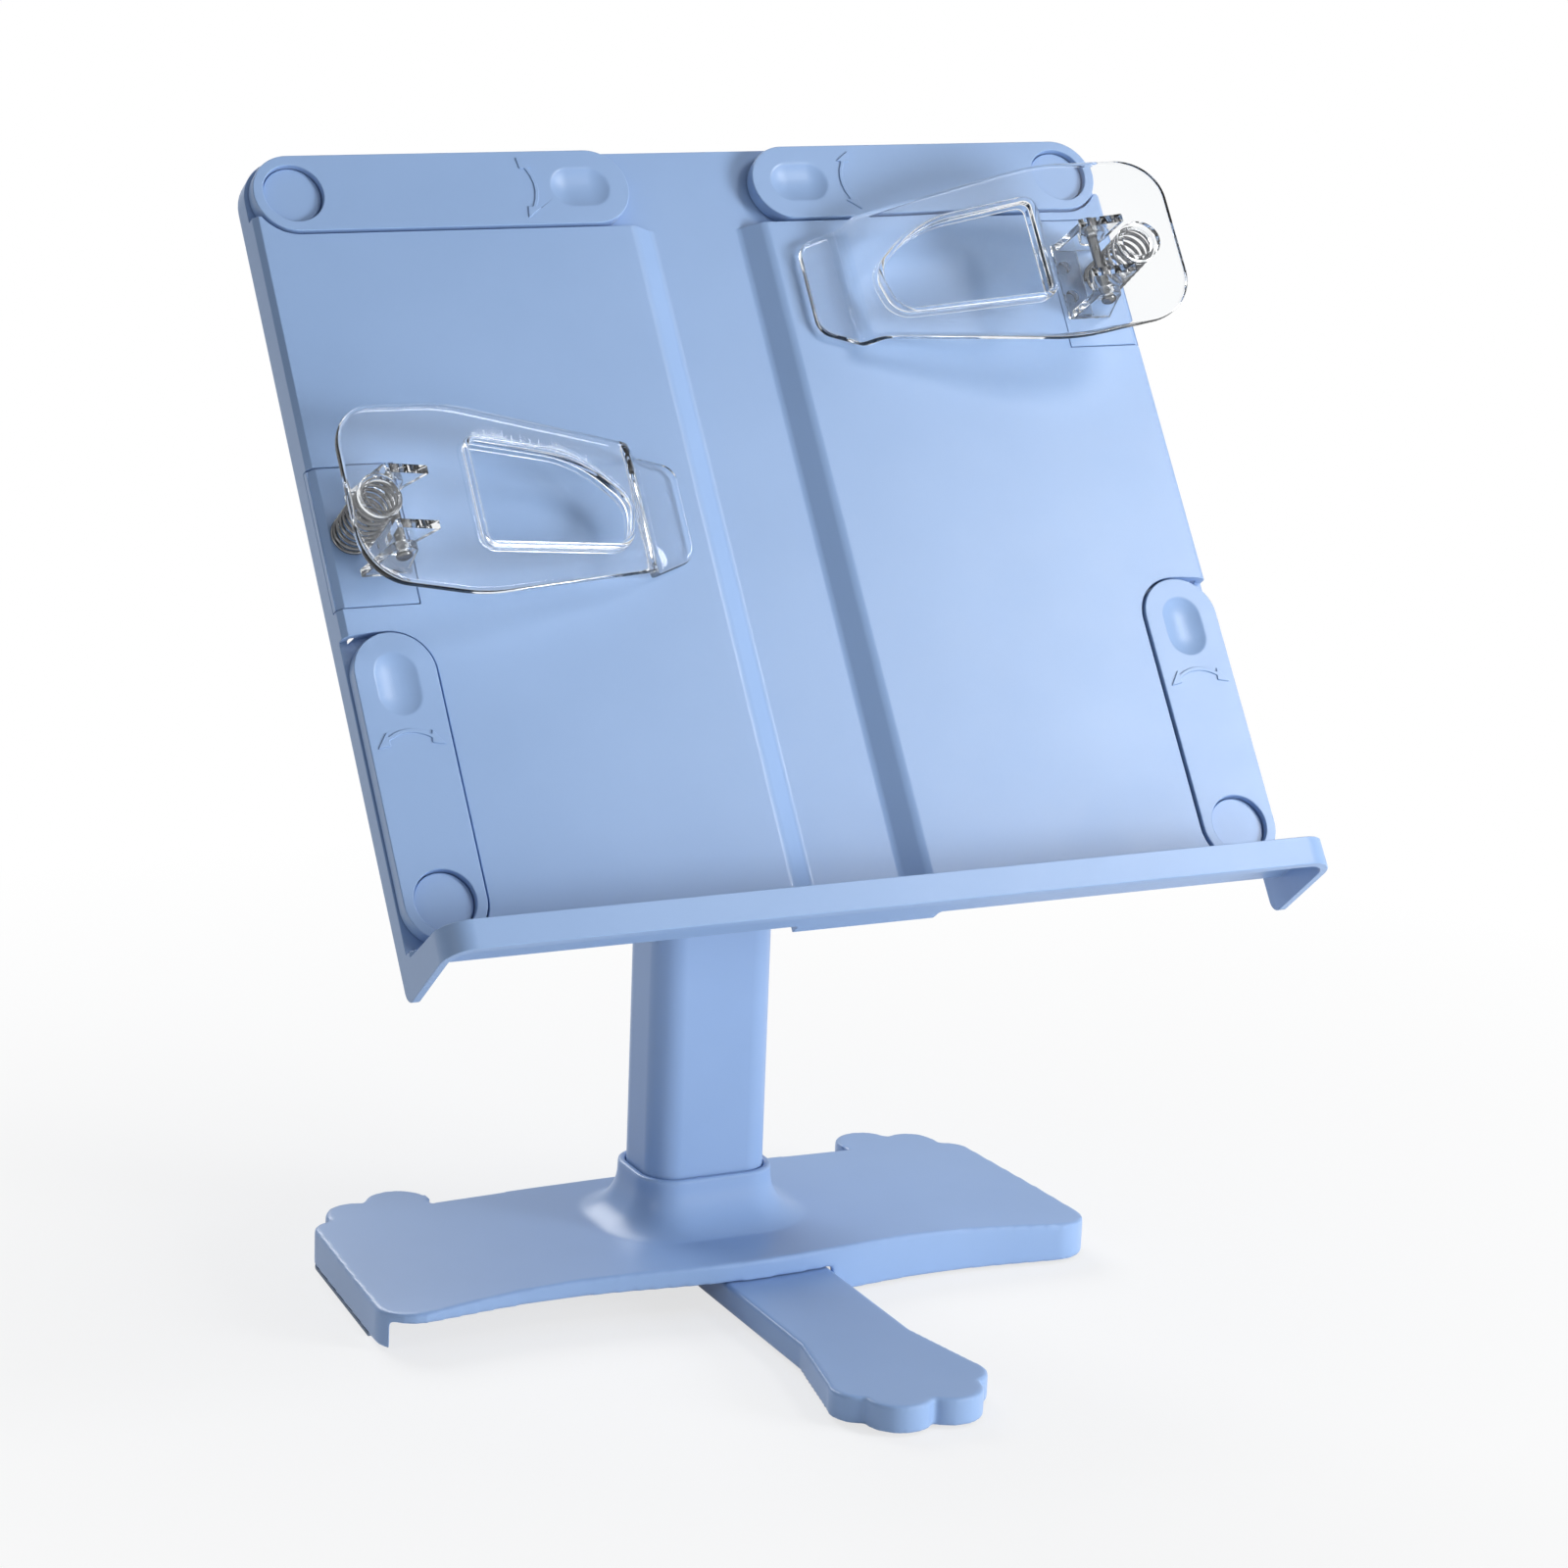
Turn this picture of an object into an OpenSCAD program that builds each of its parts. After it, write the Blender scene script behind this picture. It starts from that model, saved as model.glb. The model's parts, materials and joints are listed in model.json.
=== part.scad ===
// Book stand: a tilting board with a ledge, four swing arms and two sprung page clips,
// on a telescoping column over a crowned base with a fold-out front leg.
// Frame: +Z up, -Y towards the reader, origin under the middle of the footprint, on the table.

/* [Base] */
// Length of the base from end to end
base_l = 239; // [230:1:252]
// Depth of the base at its middle
base_d = 85; // [82:1:92]
// Height of the base at its middle
base_h = 16; // [15.5:0.1:18]
// Height of the base at its ends
base_end_h = 12.5; // [12:0.1:14]
// Wall of the base shell
base_wall = 2.4; // [2:0.1:2.8]
// How far the front edge draws in at its two waists
base_waist = 5.5; // [2:0.5:8]
// Radius of the front corners
base_corner_r = 12; // [8:0.5:14]
// Rubber under the base and under the leg
foot_t = 1; // [0.6:0.1:1.4]
// Width of the gaps in the front skirt beside the leg
leg_gap = 1.2; // [0.8:0.1:2]

/* [Leg] */
// How far the leg reaches out in front of the base
leg_out = 105; // [96:1:108]
// Width of the leg
leg_w = 36; // [32:1:38]
// Width of the paw at the leg's front end
paw_w = 50; // [47:1:54]
// Wall of the hollow leg
leg_wall = 2.2; // [1.8:0.1:2.6]
// Radius of the leg's pivot pin
leg_pin_r = 3.5; // [3:0.1:4]

/* [Column] */
// Width of the outer column
col_w = 40; // [36:0.5:42]
// Depth of the outer column
col_d = 29; // [28:0.5:31]
// Corner radius of the outer column
col_r = 9; // [7:0.5:11]
// Wall of the outer column
col_wall = 2.2; // [1.8:0.1:2.6]
// Distance of the column's axis behind the middle of the base
col_back = 6; // [4:0.5:9]
// Height of the collar above the base plate
collar_h = 16.5; // [15:0.5:20]
// Wall of the collar
collar_wall = 2.4; // [2:0.1:3]
// Radius of the sweep from the collar to the plate
collar_sweep = 14; // [11:0.5:14]
// How far the board can be lowered
lift_down = 60; // [40:1:64]

/* [Hinge] */
// Height of the tilt axis
hinge_h = 251; // [244:1:260]
// Place of the tilt axis up the board
hinge_u = 162; // [156:1:166]
// Distance of the tilt axis behind the face of the board
hinge_back = 28; // [27:0.5:32]
// Tilt of the board from upright
board_tilt = 36; // [28:1:42]
// Radius of the hinge bolt
bolt_r = 3; // [2.5:0.1:3.5]
// Radius of the knobs
knob_r = 11.5; // [10:0.5:12]

/* [Board] */
// Width of the board
board_w = 280; // [270:1:292]
// Height of the board along its slope
board_l = 258; // [254:1:266]
// Depth of the rim around the back
board_rim = 11; // [10:0.5:13]
// Wall of the board
board_wall = 2.5; // [2.2:0.1:2.8]
// Height of the two raised pads
pad_h = 4.2; // [3.8:0.1:4.6]
// Width of the middle channel at its floor
chan_floor_w = 29; // [27:1:33]
// Width of the middle channel at the pads' faces
chan_top_w = 43; // [40:1:47]
// Radius of the top corners
board_corner_r = 14; // [12:0.5:16]
// Height of the ledge above the lower edge
ledge_h = 11; // [10:0.5:12]
// Reach of the ledge in front of the pads
ledge_d = 27; // [24:0.5:32]
// Corner radius of the ledge
ledge_r = 9; // [6:0.5:11]

/* [Arms] */
// Width of an arm
arm_w = 24.5; // [23.5:0.5:25]
// Thickness of an arm
arm_t = 4.7; // [4.4:0.1:5]
// Length of a top arm
top_arm_l = 118; // [100:1:119]
// Length of a side arm
side_arm_l = 92.5; // [80:0.5:94]
// Height of a side arm's pivot above the ledge
side_pivot_rise = 14.6; // [14.4:0.1:15.5]
// Radius of the pivot studs
stud_r = 6; // [5:0.5:6.5]
// Radius of the studs' heads
stud_head_r = 8.8; // [8.2:0.1:9]

/* [Clips] */
// Width of a clip's tile
tile_w = 25; // [24:0.5:26]
// Height of a clip's tile
tile_l = 43.5; // [41:0.5:44]
// Gap between the left clip's tile and the end of the side arm
clip_left_gap = 7.5; // [5:0.1:20]
// Gap between the right clip's tile and the top arm
clip_right_gap = 2.75; // [2.4:0.05:28]
// Length of a clip's lever, across the board
lever_l = 113.5; // [105:0.5:114]
// Thickness of a lever
lever_t = 3.2; // [2.6:0.1:3.6]
// Largest width of a lever
lever_w = 59; // [54:1:62]
// Height of a lever's underside at its outer end
lever_rise = 29; // [28:0.5:31]
// Length of a lever's flat tip
tip_l = 16; // [13:0.5:18]
// Distance of the clip's pin from the board's edge
pin_in = 16.5; // [16:0.1:17]
// Height of the clip's pin above the pad
pin_rise = 14; // [12:0.5:15]
// Radius of the clip's pin
pin_r = 1.5; // [1.2:0.1:1.7]
// Outside radius of a spring
spring_r = 6.3; // [5.5:0.1:6.5]
// Wire of a spring
wire_d = 1.1; // [0.9:0.1:1.3]
// Turns of a spring
spring_turns = 9; // [6:1:10]

/* [Fits] */
// Radial clearance of a turning pin
pin_gap = 0.05; // [0.03:0.01:0.08]
// Gap between sliding or swinging faces
run_gap = 0.3; // [0.25:0.05:0.4]
// Seam around an inset piece
seam_gap = 0.3; // [0.2:0.05:0.4]

/* [Hidden] */
$fn = 64;
SIDES = [-1, 1];
// Extra length of a cut past the face it opens, and depth of a weld into a neighbour
over = 1;
weld = 0.5;
// Air left at the end of a blind screw or pin, and under a screwed-on face
end_gap = 0.2;
face_gap = 0.1;
blue = "#8FBBDD";
clear = [0.86, 0.93, 0.97, 0.35];
steel = "#B9BEC4";
rubber = "#5C6066";

// Toes at each rear corner: distance from the base's end, from its rear edge, and radius
toes = [[36.5, 5.5, 10.5], [21.5, 2, 9.5], [12, -7, 7]];
toe_rise = toes[0][1] + toes[0][2];
// Distance between the middles of the two front waists
waist_pitch = 130;
footprint_d = leg_out + base_d + toe_rise;
base_y = footprint_d / 2 - toe_rise - base_d / 2;
crown = base_h - base_end_h;
crown_r = (pow(base_l / 2, 2) + pow(crown, 2)) / (2 * crown);
corner_x = base_l / 2 - base_corner_r;
corner_y = front_edge(corner_x) + base_corner_r;

leg_y = base_y - base_d / 2 + leg_w / 2;
leg_len = leg_y + footprint_d / 2;
// Room between the stored paw and the end wall
store_gap = 1.5;
leg_x = leg_len - (base_l / 2 - base_wall - store_gap);
leg_lift = 0.2;
leg_bottom = foot_t + leg_lift;
leg_top = base_end_h - base_wall - 2 * run_gap;
leg_head_w = 3;
leg_head_r = leg_pin_r + leg_head_w;
leg_head_t = 1.6;
leg_boss_w = 5;
leg_boss_r = leg_pin_r + leg_boss_w;
side_toe_r = 9.5;
mid_toe_r = 10.5;
mid_toe_x = 8;
leg_pad_r = 10;
leg_pad_in = 1;
flare_l = 34;
leg_rib_t = 1.6;
leg_rib_up = 1;
foot_in = 8;

post_y = base_y + col_back;
col_floor = 5;
slide_w = col_w - 2 * col_wall - 2 * run_gap;
slide_d = col_d - 2 * col_wall - 2 * run_gap;
slide_r = max(2, col_r - col_wall - run_gap);
slide_wall = 2;
collar_w = col_w + 2 * seam_gap + 2 * collar_wall;
collar_d = col_d + 2 * seam_gap + 2 * collar_wall;
collar_r = col_r + seam_gap + collar_wall;
// The sweep is sunk by what the crown falls under it
sweep_sink = crown * pow((collar_w / 2 + collar_sweep) / (base_l / 2), 2) + face_gap;
screw_r = 2;
screw_head_r = 3.8;
screw_head_t = 2.2;
col_screw_x = 8;

lug_r = 9;
lug_neck = 10;
lug_w = 19.4;
lug_drop = lug_r + lug_neck;
ear_t = 4;
ear_gap = 0.5;
ear_x = lug_w / 2 + ear_gap;
washer_t = 0.4;
washer_in = 0.5;
bolt_head_t = 4;
bolt_head_w = 3;
stop_gap = 4;
col_top = hinge_h - lift_down - lug_drop - stop_gap;
cap_t = 3;
cap_skirt = 8;
cap_wall = 2;
slide_gap = 2;
slide_bottom = base_h + col_floor + lift_down + slide_gap;
slide_top = hinge_h - lug_drop;
knob_t = 9;
knob_lobes = 12;
lobe_r = 2;
lobe_in = 1;
knob_skin = 2;
lock_drop = 12;
lock_z = col_top - cap_skirt - lock_drop;
lock_boss_r = 8;
lock_boss_t = 5;

floor_n = -pad_h;
floor_back = floor_n - board_wall;
mount_t = 3;
bracket_t = 3.5;
bracket_over = 2;
bracket_w = chan_floor_w + bracket_over;
bracket_l = 56;
bracket_screw = [9, 21];
board_y = post_y - (hinge_u * sin(board_tilt) + hinge_back * cos(board_tilt));
board_z = hinge_h - (hinge_u * cos(board_tilt) - hinge_back * sin(board_tilt));
ledge_front_u = 2.5;
tip_round = 4;
pad_bevel = 1.6;
rib_t = 1.6;
rib_n = 1.5;
rib_rows = [70, 172];
rib_x = 75;
rib_start = 12;

arm_r = arm_w / 2;
pocket_gap = 0.7;
arm_n = floor_n + run_gap;
arm_face = arm_n + arm_t;
top_edge = 1.3;
top_u = board_l - arm_r - top_edge;
top_x = board_w / 2 - arm_r - top_edge;
side_u = ledge_h + side_pivot_rise;
side_edge = 0.6;
side_x = board_w / 2 - arm_r - side_edge;
pad_top = top_u - arm_r - pocket_gap;
head_sink = 1.8;
head_face = arm_face - head_sink;
head_t = 1.2;
stud_out = 2.4;
stud_end = floor_back - stud_out;
ring_t = 1.2;
ring_w = 2.2;
dish_l = 20;
dish_w = 13.7;
dish_cut_r = 17;
dish_in = 3.4;
arrow_in = 18.5;
arrow_w = 1.1;
arrow_h = 0.4;
arrow_span = 7;
arrow_head = [2.2, 2, 1.6];
arrow_reach = 1.5;
arrow_root = 0.2;
// Pivot places and lengths: name order is top left, top right, side left, side right
top_arm_c = top_arm_l - arm_w;
side_arm_c = side_arm_l - arm_w;
studs = [[-top_x, top_u], [top_x, top_u], [-side_x, side_u], [side_x, side_u]];

clip_left_u = side_u + side_arm_c + arm_r + pocket_gap + clip_left_gap + tile_l / 2;
clip_right_u = pad_top - clip_right_gap - tile_l / 2;
clip_us = [clip_left_u, clip_right_u];
seat_t = 2.5;
tile_t = 4;
tile_screw_v = 16;
tile_screw_s = tile_w / 2;
tile_screw_r = 1.5;
tile_head_w = 1.6;
tile_head_r = tile_screw_r + tile_head_w;
tile_skin = 1;
lug_in_v = 7.1;
lug_out_v = 9.8;
ear_in_v = lug_out_v + run_gap;
clip_ear_t = 2.6;
ear_out_v = ear_in_v + clip_ear_t;
clip_ear_w = 2.7;
clip_ear_r = pin_r + clip_ear_w;
ear_back = 7.5;
ear_front = 6;
lug_back = 5;
lug_front = 9;
plate_out = 1.5;
bracket_base = 1.2;
peg_r = 2;
peg_s = 20.5;
peg_v = 5;
head_w = 0.8;
head_r = pin_r + head_w;
pin_head_t = 0.9;
lever_out = 2.5;
step_s = lever_l - lever_out - tip_l;
tip_s = lever_l - lever_out;
tip_n = 0.7;
riser_t = lever_t;
step_h = 3.4;
lever_low = tip_n + lever_t + step_h;
lever_slope = (lever_rise - lever_low) / (step_s + lever_out);
spring_s = 8.5;
coil_r = spring_r - wire_d / 2;
plate_s = spring_s + spring_r + run_gap;
spring_low = run_gap / 3;
seat_n = under(spring_s + spring_r) - run_gap;
spring_top = seat_n - run_gap / 3;
spigot_in = 1;
spigot_r = spring_r - wire_d - spigot_in;
spigot_h = 2;
lever_spigot_h = 1.2;
rim_t = 1.5;
rim_down = 2.4;
rim_up = 0.6;
// Half outline of a lever: place in from the board's edge, half width and corner radius
lever_half = [[-lever_out, lever_w / 2 - 3.5, 15], [35, lever_w / 2, 60], [step_s - 2, 20.5, 30],
    [tip_s, 14.5, 6]];
// Corners of the lever's window: place in from the board's edge, up the slope, and radius
window = [[40, -13.5, 2], [step_s - 8, -12.5, 7], [step_s - 4.5, 1, 8], [step_s - 19, 14, 14],
    [40, 17.5, 2]];
// How each corner moves as the window grows
window_grow = [[-1, -1], [0.5, -1], [1, 0], [0, 1], [-1, 1]];

// Front edge of the base: two shallow waists either side of the leg
function front_edge(x) = -base_d / 2 + base_waist * (1 - cos(360 * x / waist_pitch)) / 2;

// Underside of a clip's lever at a distance in from the board's edge
function under(s) = lever_rise - lever_slope * (s + lever_out);

function unit(v) = v / norm(v);

// Corner of a path rounded by an arc: points before, at and after it, with the corner's radius
function round_corner(a, b, c, steps) =
    let (p = [b[0], b[1]],
        to_a = unit([a[0], a[1]] - p),
        to_c = unit([c[0], c[1]] - p),
        half = acos(to_a * to_c) / 2,
        centre = p + unit(to_a + to_c) * b[2] / sin(half),
        from = p + to_a * b[2] / tan(half) - centre,
        turn = sign(to_a[0] * to_c[1] - to_a[1] * to_c[0]) * -(180 - 2 * half))
    [for (i = [0:steps]) let (w = turn * i / steps)
        centre + [from[0] * cos(w) - from[1] * sin(w), from[0] * sin(w) + from[1] * cos(w)]];

// Closed path with round corners, from points that each hold x, y and a radius
function round_path(pts, steps = 8) =
    [for (i = [0:len(pts) - 1])
        each round_corner(pts[(i + len(pts) - 1) % len(pts)], pts[i], pts[(i + 1) % len(pts)], steps)];

// Rounded rectangle about the origin
module rounded_rect(w, d, r) {
    square([w - 2 * r, d], center = true);
    square([w, d - 2 * r], center = true);
    for (x = SIDES, y = SIDES)
        translate([x * (w / 2 - r), y * (d / 2 - r)])
            circle(r);
}

// Bar with round ends from the origin along +X
module stadium(c, r) {
    circle(r);
    translate([0, -r])
        square([c, 2 * r]);
    translate([c, 0])
        circle(r);
}

// Board frame: X across, Y up the slope, Z out of the face
module on_board() {
    translate([0, board_y, board_z])
        rotate([90 - board_tilt, 0, 0])
            children();
}

// Outline in X and Z of the board frame, drawn up the slope from u0 to u1
module along_u(u0, u1) {
    translate([0, u1, 0])
        rotate([90, 0, 0])
            linear_extrude(u1 - u0)
                children();
}

// Outline in Y and Z, drawn along X about the middle
module along_x(w) {
    translate([-w / 2, 0, 0])
        rotate([90, 0, 90])
            linear_extrude(w)
                children();
}

// Clip frame: X inwards from the board's edge, Y up the slope from the clip's middle
module on_clip(side) {
    on_board()
        mirror([side > 0 ? 1 : 0, 0, 0])
            translate([-board_w / 2, clip_us[side > 0 ? 1 : 0], 0])
                children();
}

// Base

module base_outline(inset = 0) {
    rear = base_d / 2 - inset;
    steps = 40;
    polygon(concat(
        [for (i = [0:steps]) let (x = corner_x * (2 * i / steps - 1)) [x, front_edge(x) + inset]],
        [[base_l / 2 - inset, corner_y]],
        [for (i = [2:-1:0]) [base_l / 2 - toes[i][0], base_d / 2 + toes[i][1]]],
        [[base_l / 2 - toes[0][0], rear], [toes[0][0] - base_l / 2, rear]],
        [for (i = [0:2]) [toes[i][0] - base_l / 2, base_d / 2 + toes[i][1]]],
        [[inset - base_l / 2, corner_y]]));
    for (side = SIDES) {
        translate([side * corner_x, corner_y])
            circle(base_corner_r - inset);
        for (toe = toes)
            translate([side * (base_l / 2 - toe[0]), base_d / 2 + toe[1]])
                circle(toe[2] - inset);
        polygon([[side * (base_l / 2 - inset), corner_y],
            [side * (base_l / 2 - toes[2][0] + toes[2][2] - inset), base_d / 2 + toes[2][1]],
            [0, base_d / 2 + toes[2][1]],
            [0, corner_y]]);
    }
}

// Crowned space under the plate's top, or under its lower face
module under_crown(drop) {
    translate([0, 0, base_h - crown_r])
        rotate([90, 0, 0])
            cylinder(r = crown_r - drop, h = 2 * footprint_d, center = true, $fn = 256);
}

// Sweep from the collar's wall down onto the plate
module sweep_profile() {
    difference() {
        translate([-weld, -base_wall / 2])
            square([collar_sweep + weld, collar_sweep + base_wall / 2]);
        translate([collar_sweep, collar_sweep])
            circle(collar_sweep);
    }
}

module collar() {
    translate([0, col_back, base_h - base_wall / 2])
        linear_extrude(collar_h + base_wall / 2)
            rounded_rect(collar_w, collar_d, collar_r);
    translate([0, col_back, base_h - sweep_sink]) {
        for (x = SIDES, y = SIDES)
            translate([x * (collar_w / 2 - collar_r), y * (collar_d / 2 - collar_r), 0])
                rotate_extrude()
                    translate([collar_r, 0])
                        sweep_profile();
        for (turn = [0:3]) {
            across = turn % 2 == 0;
            run = across ? collar_d - 2 * collar_r : collar_w - 2 * collar_r;
            rotate([90, 0, turn * 90])
                translate([(across ? collar_w : collar_d) / 2, 0, -run / 2])
                    linear_extrude(run)
                        sweep_profile();
        }
    }
}

module base_shell() color(blue) translate([0, base_y, 0]) {
    difference() {
        union() {
            intersection() {
                translate([0, 0, foot_t])
                    linear_extrude(base_h)
                        base_outline();
                under_crown(0);
            }
            collar();
        }
        intersection() {
            translate([0, 0, -over])
                linear_extrude(base_h)
                    base_outline(base_wall);
            under_crown(base_wall);
        }
        // The front skirt is left open where the leg swings in
        translate([base_wall - base_l / 2, -base_d, -over])
            cube([leg_x + leg_w / 2 + leg_gap + base_l / 2 - base_wall, base_d + corner_y,
                leg_top + run_gap + over]);
        translate([0, col_back, base_h])
            linear_extrude(collar_h + over)
                rounded_rect(col_w + 2 * seam_gap, col_d + 2 * seam_gap, col_r + seam_gap);
        for (side = SIDES)
            translate([side * col_screw_x, col_back, 0])
                cylinder(r = screw_r + pin_gap, h = base_h + over);
    }
    // Boss that the leg turns on
    difference() {
        translate([leg_x, leg_y - base_y, leg_top + run_gap])
            cylinder(r = leg_boss_r, h = base_h - base_wall / 2 - leg_top - run_gap);
        translate([leg_x, leg_y - base_y, 0])
            cylinder(r = leg_pin_r + pin_gap, h = base_h - base_wall);
    }
}

module base_feet() color(rubber)
    translate([0, base_y, 0])
        linear_extrude(foot_t)
            intersection() {
                difference() {
                    base_outline(base_wall * 0.1);
                    base_outline(base_wall * 0.9);
                }
                for (side = SIDES)
                    translate([side * base_l / 2 - toes[0][0] + foot_in, corner_y + foot_in])
                        square([2 * (toes[0][0] - foot_in), base_d]);
            }

// Leg, drawn from its pivot towards -Y

module leg_outline(inset = 0) {
    circle(leg_w / 2 - inset);
    flare_y = leg_len - side_toe_r - mid_toe_r;
    polygon([[-leg_w / 2 + inset, 0],
        [-leg_w / 2 + inset, flare_l - flare_y],
        [-paw_w / 2 + inset, -flare_y],
        [-mid_toe_x, mid_toe_r - leg_len],
        [mid_toe_x, mid_toe_r - leg_len],
        [paw_w / 2 - inset, -flare_y],
        [leg_w / 2 - inset, flare_l - flare_y],
        [leg_w / 2 - inset, 0]]);
    for (side = SIDES) {
        translate([side * (paw_w / 2 - side_toe_r), -flare_y])
            circle(side_toe_r - inset);
        translate([side * mid_toe_x, mid_toe_r - leg_len])
            circle(mid_toe_r - inset);
    }
}

module front_leg() color(blue) translate([leg_x, leg_y, 0])
    difference() {
        translate([0, 0, leg_bottom])
            linear_extrude(leg_top - leg_bottom)
                leg_outline();
        difference() {
            translate([0, 0, leg_bottom - over])
                linear_extrude(leg_top - leg_bottom - leg_wall + over)
                    leg_outline(leg_wall);
            cylinder(r = leg_head_r + leg_wall, h = base_h);
            translate([0, leg_pad_r + mid_toe_r - leg_len, 0])
                cylinder(r = leg_pad_r, h = base_h);
            for (x = [-leg_w / 6, leg_w / 6])
                translate([x - leg_rib_t / 2, -leg_len + 2 * mid_toe_r, leg_bottom + leg_rib_up])
                    cube([leg_rib_t, leg_len - 2 * mid_toe_r, base_h]);
        }
        cylinder(r = leg_pin_r + pin_gap, h = base_h);
        translate([0, 0, leg_bottom - over])
            cylinder(r = leg_head_r + run_gap, h = leg_head_t + over + run_gap);
    }

module leg_foot_pad() color(rubber)
    translate([leg_x, leg_y + leg_pad_r + mid_toe_r - leg_len, 0])
        cylinder(r = leg_pad_r - leg_pad_in, h = leg_bottom);

module leg_pivot_pin() color(steel) translate([leg_x, leg_y, leg_bottom]) {
    cylinder(r = leg_head_r, h = leg_head_t);
    cylinder(r = leg_pin_r, h = base_h - base_wall - leg_bottom - end_gap);
}

// Column

module outer_column() color(blue) translate([0, post_y, 0])
    difference() {
        union() {
            translate([0, 0, base_h])
                linear_extrude(col_top - base_h)
                    rounded_rect(col_w, col_d, col_r);
            translate([0, col_d / 2 - col_wall, lock_z])
                rotate([-90, 0, 0])
                    cylinder(r = lock_boss_r, h = col_wall + lock_boss_t);
        }
        translate([0, 0, base_h + col_floor])
            linear_extrude(col_top)
                rounded_rect(slide_w + 2 * run_gap, slide_d + 2 * run_gap, slide_r + run_gap);
        for (side = SIDES)
            translate([side * col_screw_x, 0, base_h - over])
                cylinder(r = screw_r + pin_gap, h = col_floor + 2 * over);
        translate([0, 0, lock_z])
            rotate([-90, 0, 0])
                cylinder(r = bolt_r + pin_gap, h = col_d);
    }

module column_screws() color(steel)
    for (side = SIDES)
        translate([side * col_screw_x, post_y, base_h - base_wall - screw_head_t]) {
            translate([0, 0, -face_gap])
                cylinder(r = screw_head_r, h = screw_head_t);
            cylinder(r = screw_r, h = screw_head_t + base_wall + col_floor - end_gap);
        }

// Trim ring around the mouth of the outer column
module column_cap() color(blue) translate([0, post_y, col_top])
    difference() {
        translate([0, 0, -cap_skirt])
            linear_extrude(cap_skirt + cap_t)
                rounded_rect(col_w + 2 * cap_wall, col_d + 2 * cap_wall, col_r + cap_wall);
        translate([0, 0, -cap_skirt - over])
            linear_extrude(cap_skirt + over)
                rounded_rect(col_w + 2 * pin_gap, col_d + 2 * pin_gap, col_r + pin_gap);
        translate([0, 0, -over])
            linear_extrude(cap_t + 2 * over)
                rounded_rect(slide_w + 2 * run_gap, slide_d + 2 * run_gap, slide_r + run_gap);
    }

// Lobed knob on the origin, along +Z, with a blind hole for its screw
module knob() {
    difference() {
        union() {
            cylinder(r = knob_r - lobe_r, h = knob_t);
            for (i = [0:knob_lobes - 1])
                rotate([0, 0, 360 * i / knob_lobes])
                    translate([knob_r - lobe_r, 0, lobe_in])
                        cylinder(r = lobe_r, h = knob_t - 2 * lobe_in);
        }
        translate([0, 0, -over])
            cylinder(r = bolt_r, h = over + knob_t - knob_skin);
    }
}

module on_lock() {
    translate([0, post_y + col_d / 2 + lock_boss_t + run_gap, lock_z])
        rotate([-90, 0, 0])
            children();
}

module lock_knob() color(blue)
    on_lock()
        knob();

module lock_screw() color(steel)
    on_lock() {
        reach = col_d / 2 + lock_boss_t + run_gap - slide_d / 2 - run_gap;
        translate([0, 0, -reach])
            cylinder(r = bolt_r, h = reach + knob_t - knob_skin);
    }

module inner_column() color(blue) translate([0, post_y, 0])
    difference() {
        union() {
            translate([0, 0, slide_bottom])
                linear_extrude(slide_top - slide_bottom)
                    rounded_rect(slide_w, slide_d, slide_r);
            translate([0, 0, hinge_h])
                rotate([0, 90, 0])
                    cylinder(r = lug_r, h = lug_w, center = true);
            translate([-lug_w / 2, -lug_r, slide_top - weld])
                cube([lug_w, 2 * lug_r, lug_drop + weld]);
        }
        translate([0, 0, slide_bottom - over])
            linear_extrude(slide_top - slide_bottom - slide_wall + over)
                rounded_rect(slide_w - 2 * slide_wall, slide_d - 2 * slide_wall,
                    max(0.5, slide_r - slide_wall));
        translate([0, 0, hinge_h])
            rotate([0, 90, 0])
                cylinder(r = bolt_r + pin_gap, h = 2 * lug_w, center = true);
    }

// Tilt hinge, drawn about its axis

module on_hinge() {
    on_board()
        translate([0, hinge_u, -hinge_back])
            rotate([0, 90, 0])
                children();
}

module hinge_washers() color(steel)
    on_hinge()
        for (side = SIDES)
            translate([0, 0, side * (lug_w / 2 + ear_x) / 2])
                difference() {
                    cylinder(r = lug_r - washer_in, h = washer_t, center = true);
                    cylinder(r = bolt_r + pin_gap, h = washer_t + over, center = true);
                }

module hinge_bolt() color(steel)
    on_hinge() {
        out = ear_x + ear_t + face_gap;
        translate([0, 0, -out - bolt_head_t])
            cylinder(r = bolt_r + bolt_head_w, h = bolt_head_t, $fn = 6);
        translate([0, 0, -out - weld])
            cylinder(r = bolt_r, h = 2 * out + weld + knob_t - knob_skin);
    }

module tilt_knob() color(blue)
    on_hinge()
        translate([0, 0, ear_x + ear_t + face_gap])
            knob();

module hinge_bracket() color(blue) on_board()
    difference() {
        plate_n = floor_back - mount_t - bracket_t;
        union() {
            translate([-bracket_w / 2, hinge_u - bracket_l / 2, plate_n])
                cube([bracket_w, bracket_l, bracket_t]);
            for (side = SIDES)
                translate([side * (ear_x + ear_t / 2), hinge_u, 0])
                    along_x(ear_t) {
                        translate([0, -hinge_back])
                            circle(lug_r);
                        translate([-lug_r, -hinge_back])
                            square([2 * lug_r, hinge_back + plate_n + bracket_t]);
                    }
        }
        for (x = SIDES, y = SIDES)
            translate([x * bracket_screw[0], hinge_u + y * bracket_screw[1], plate_n - over])
                cylinder(r = screw_r + pin_gap, h = bracket_t + 2 * over);
        translate([0, hinge_u, -hinge_back])
            rotate([0, 90, 0])
                cylinder(r = bolt_r + pin_gap, h = 2 * bracket_w, center = true);
    }

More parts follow.
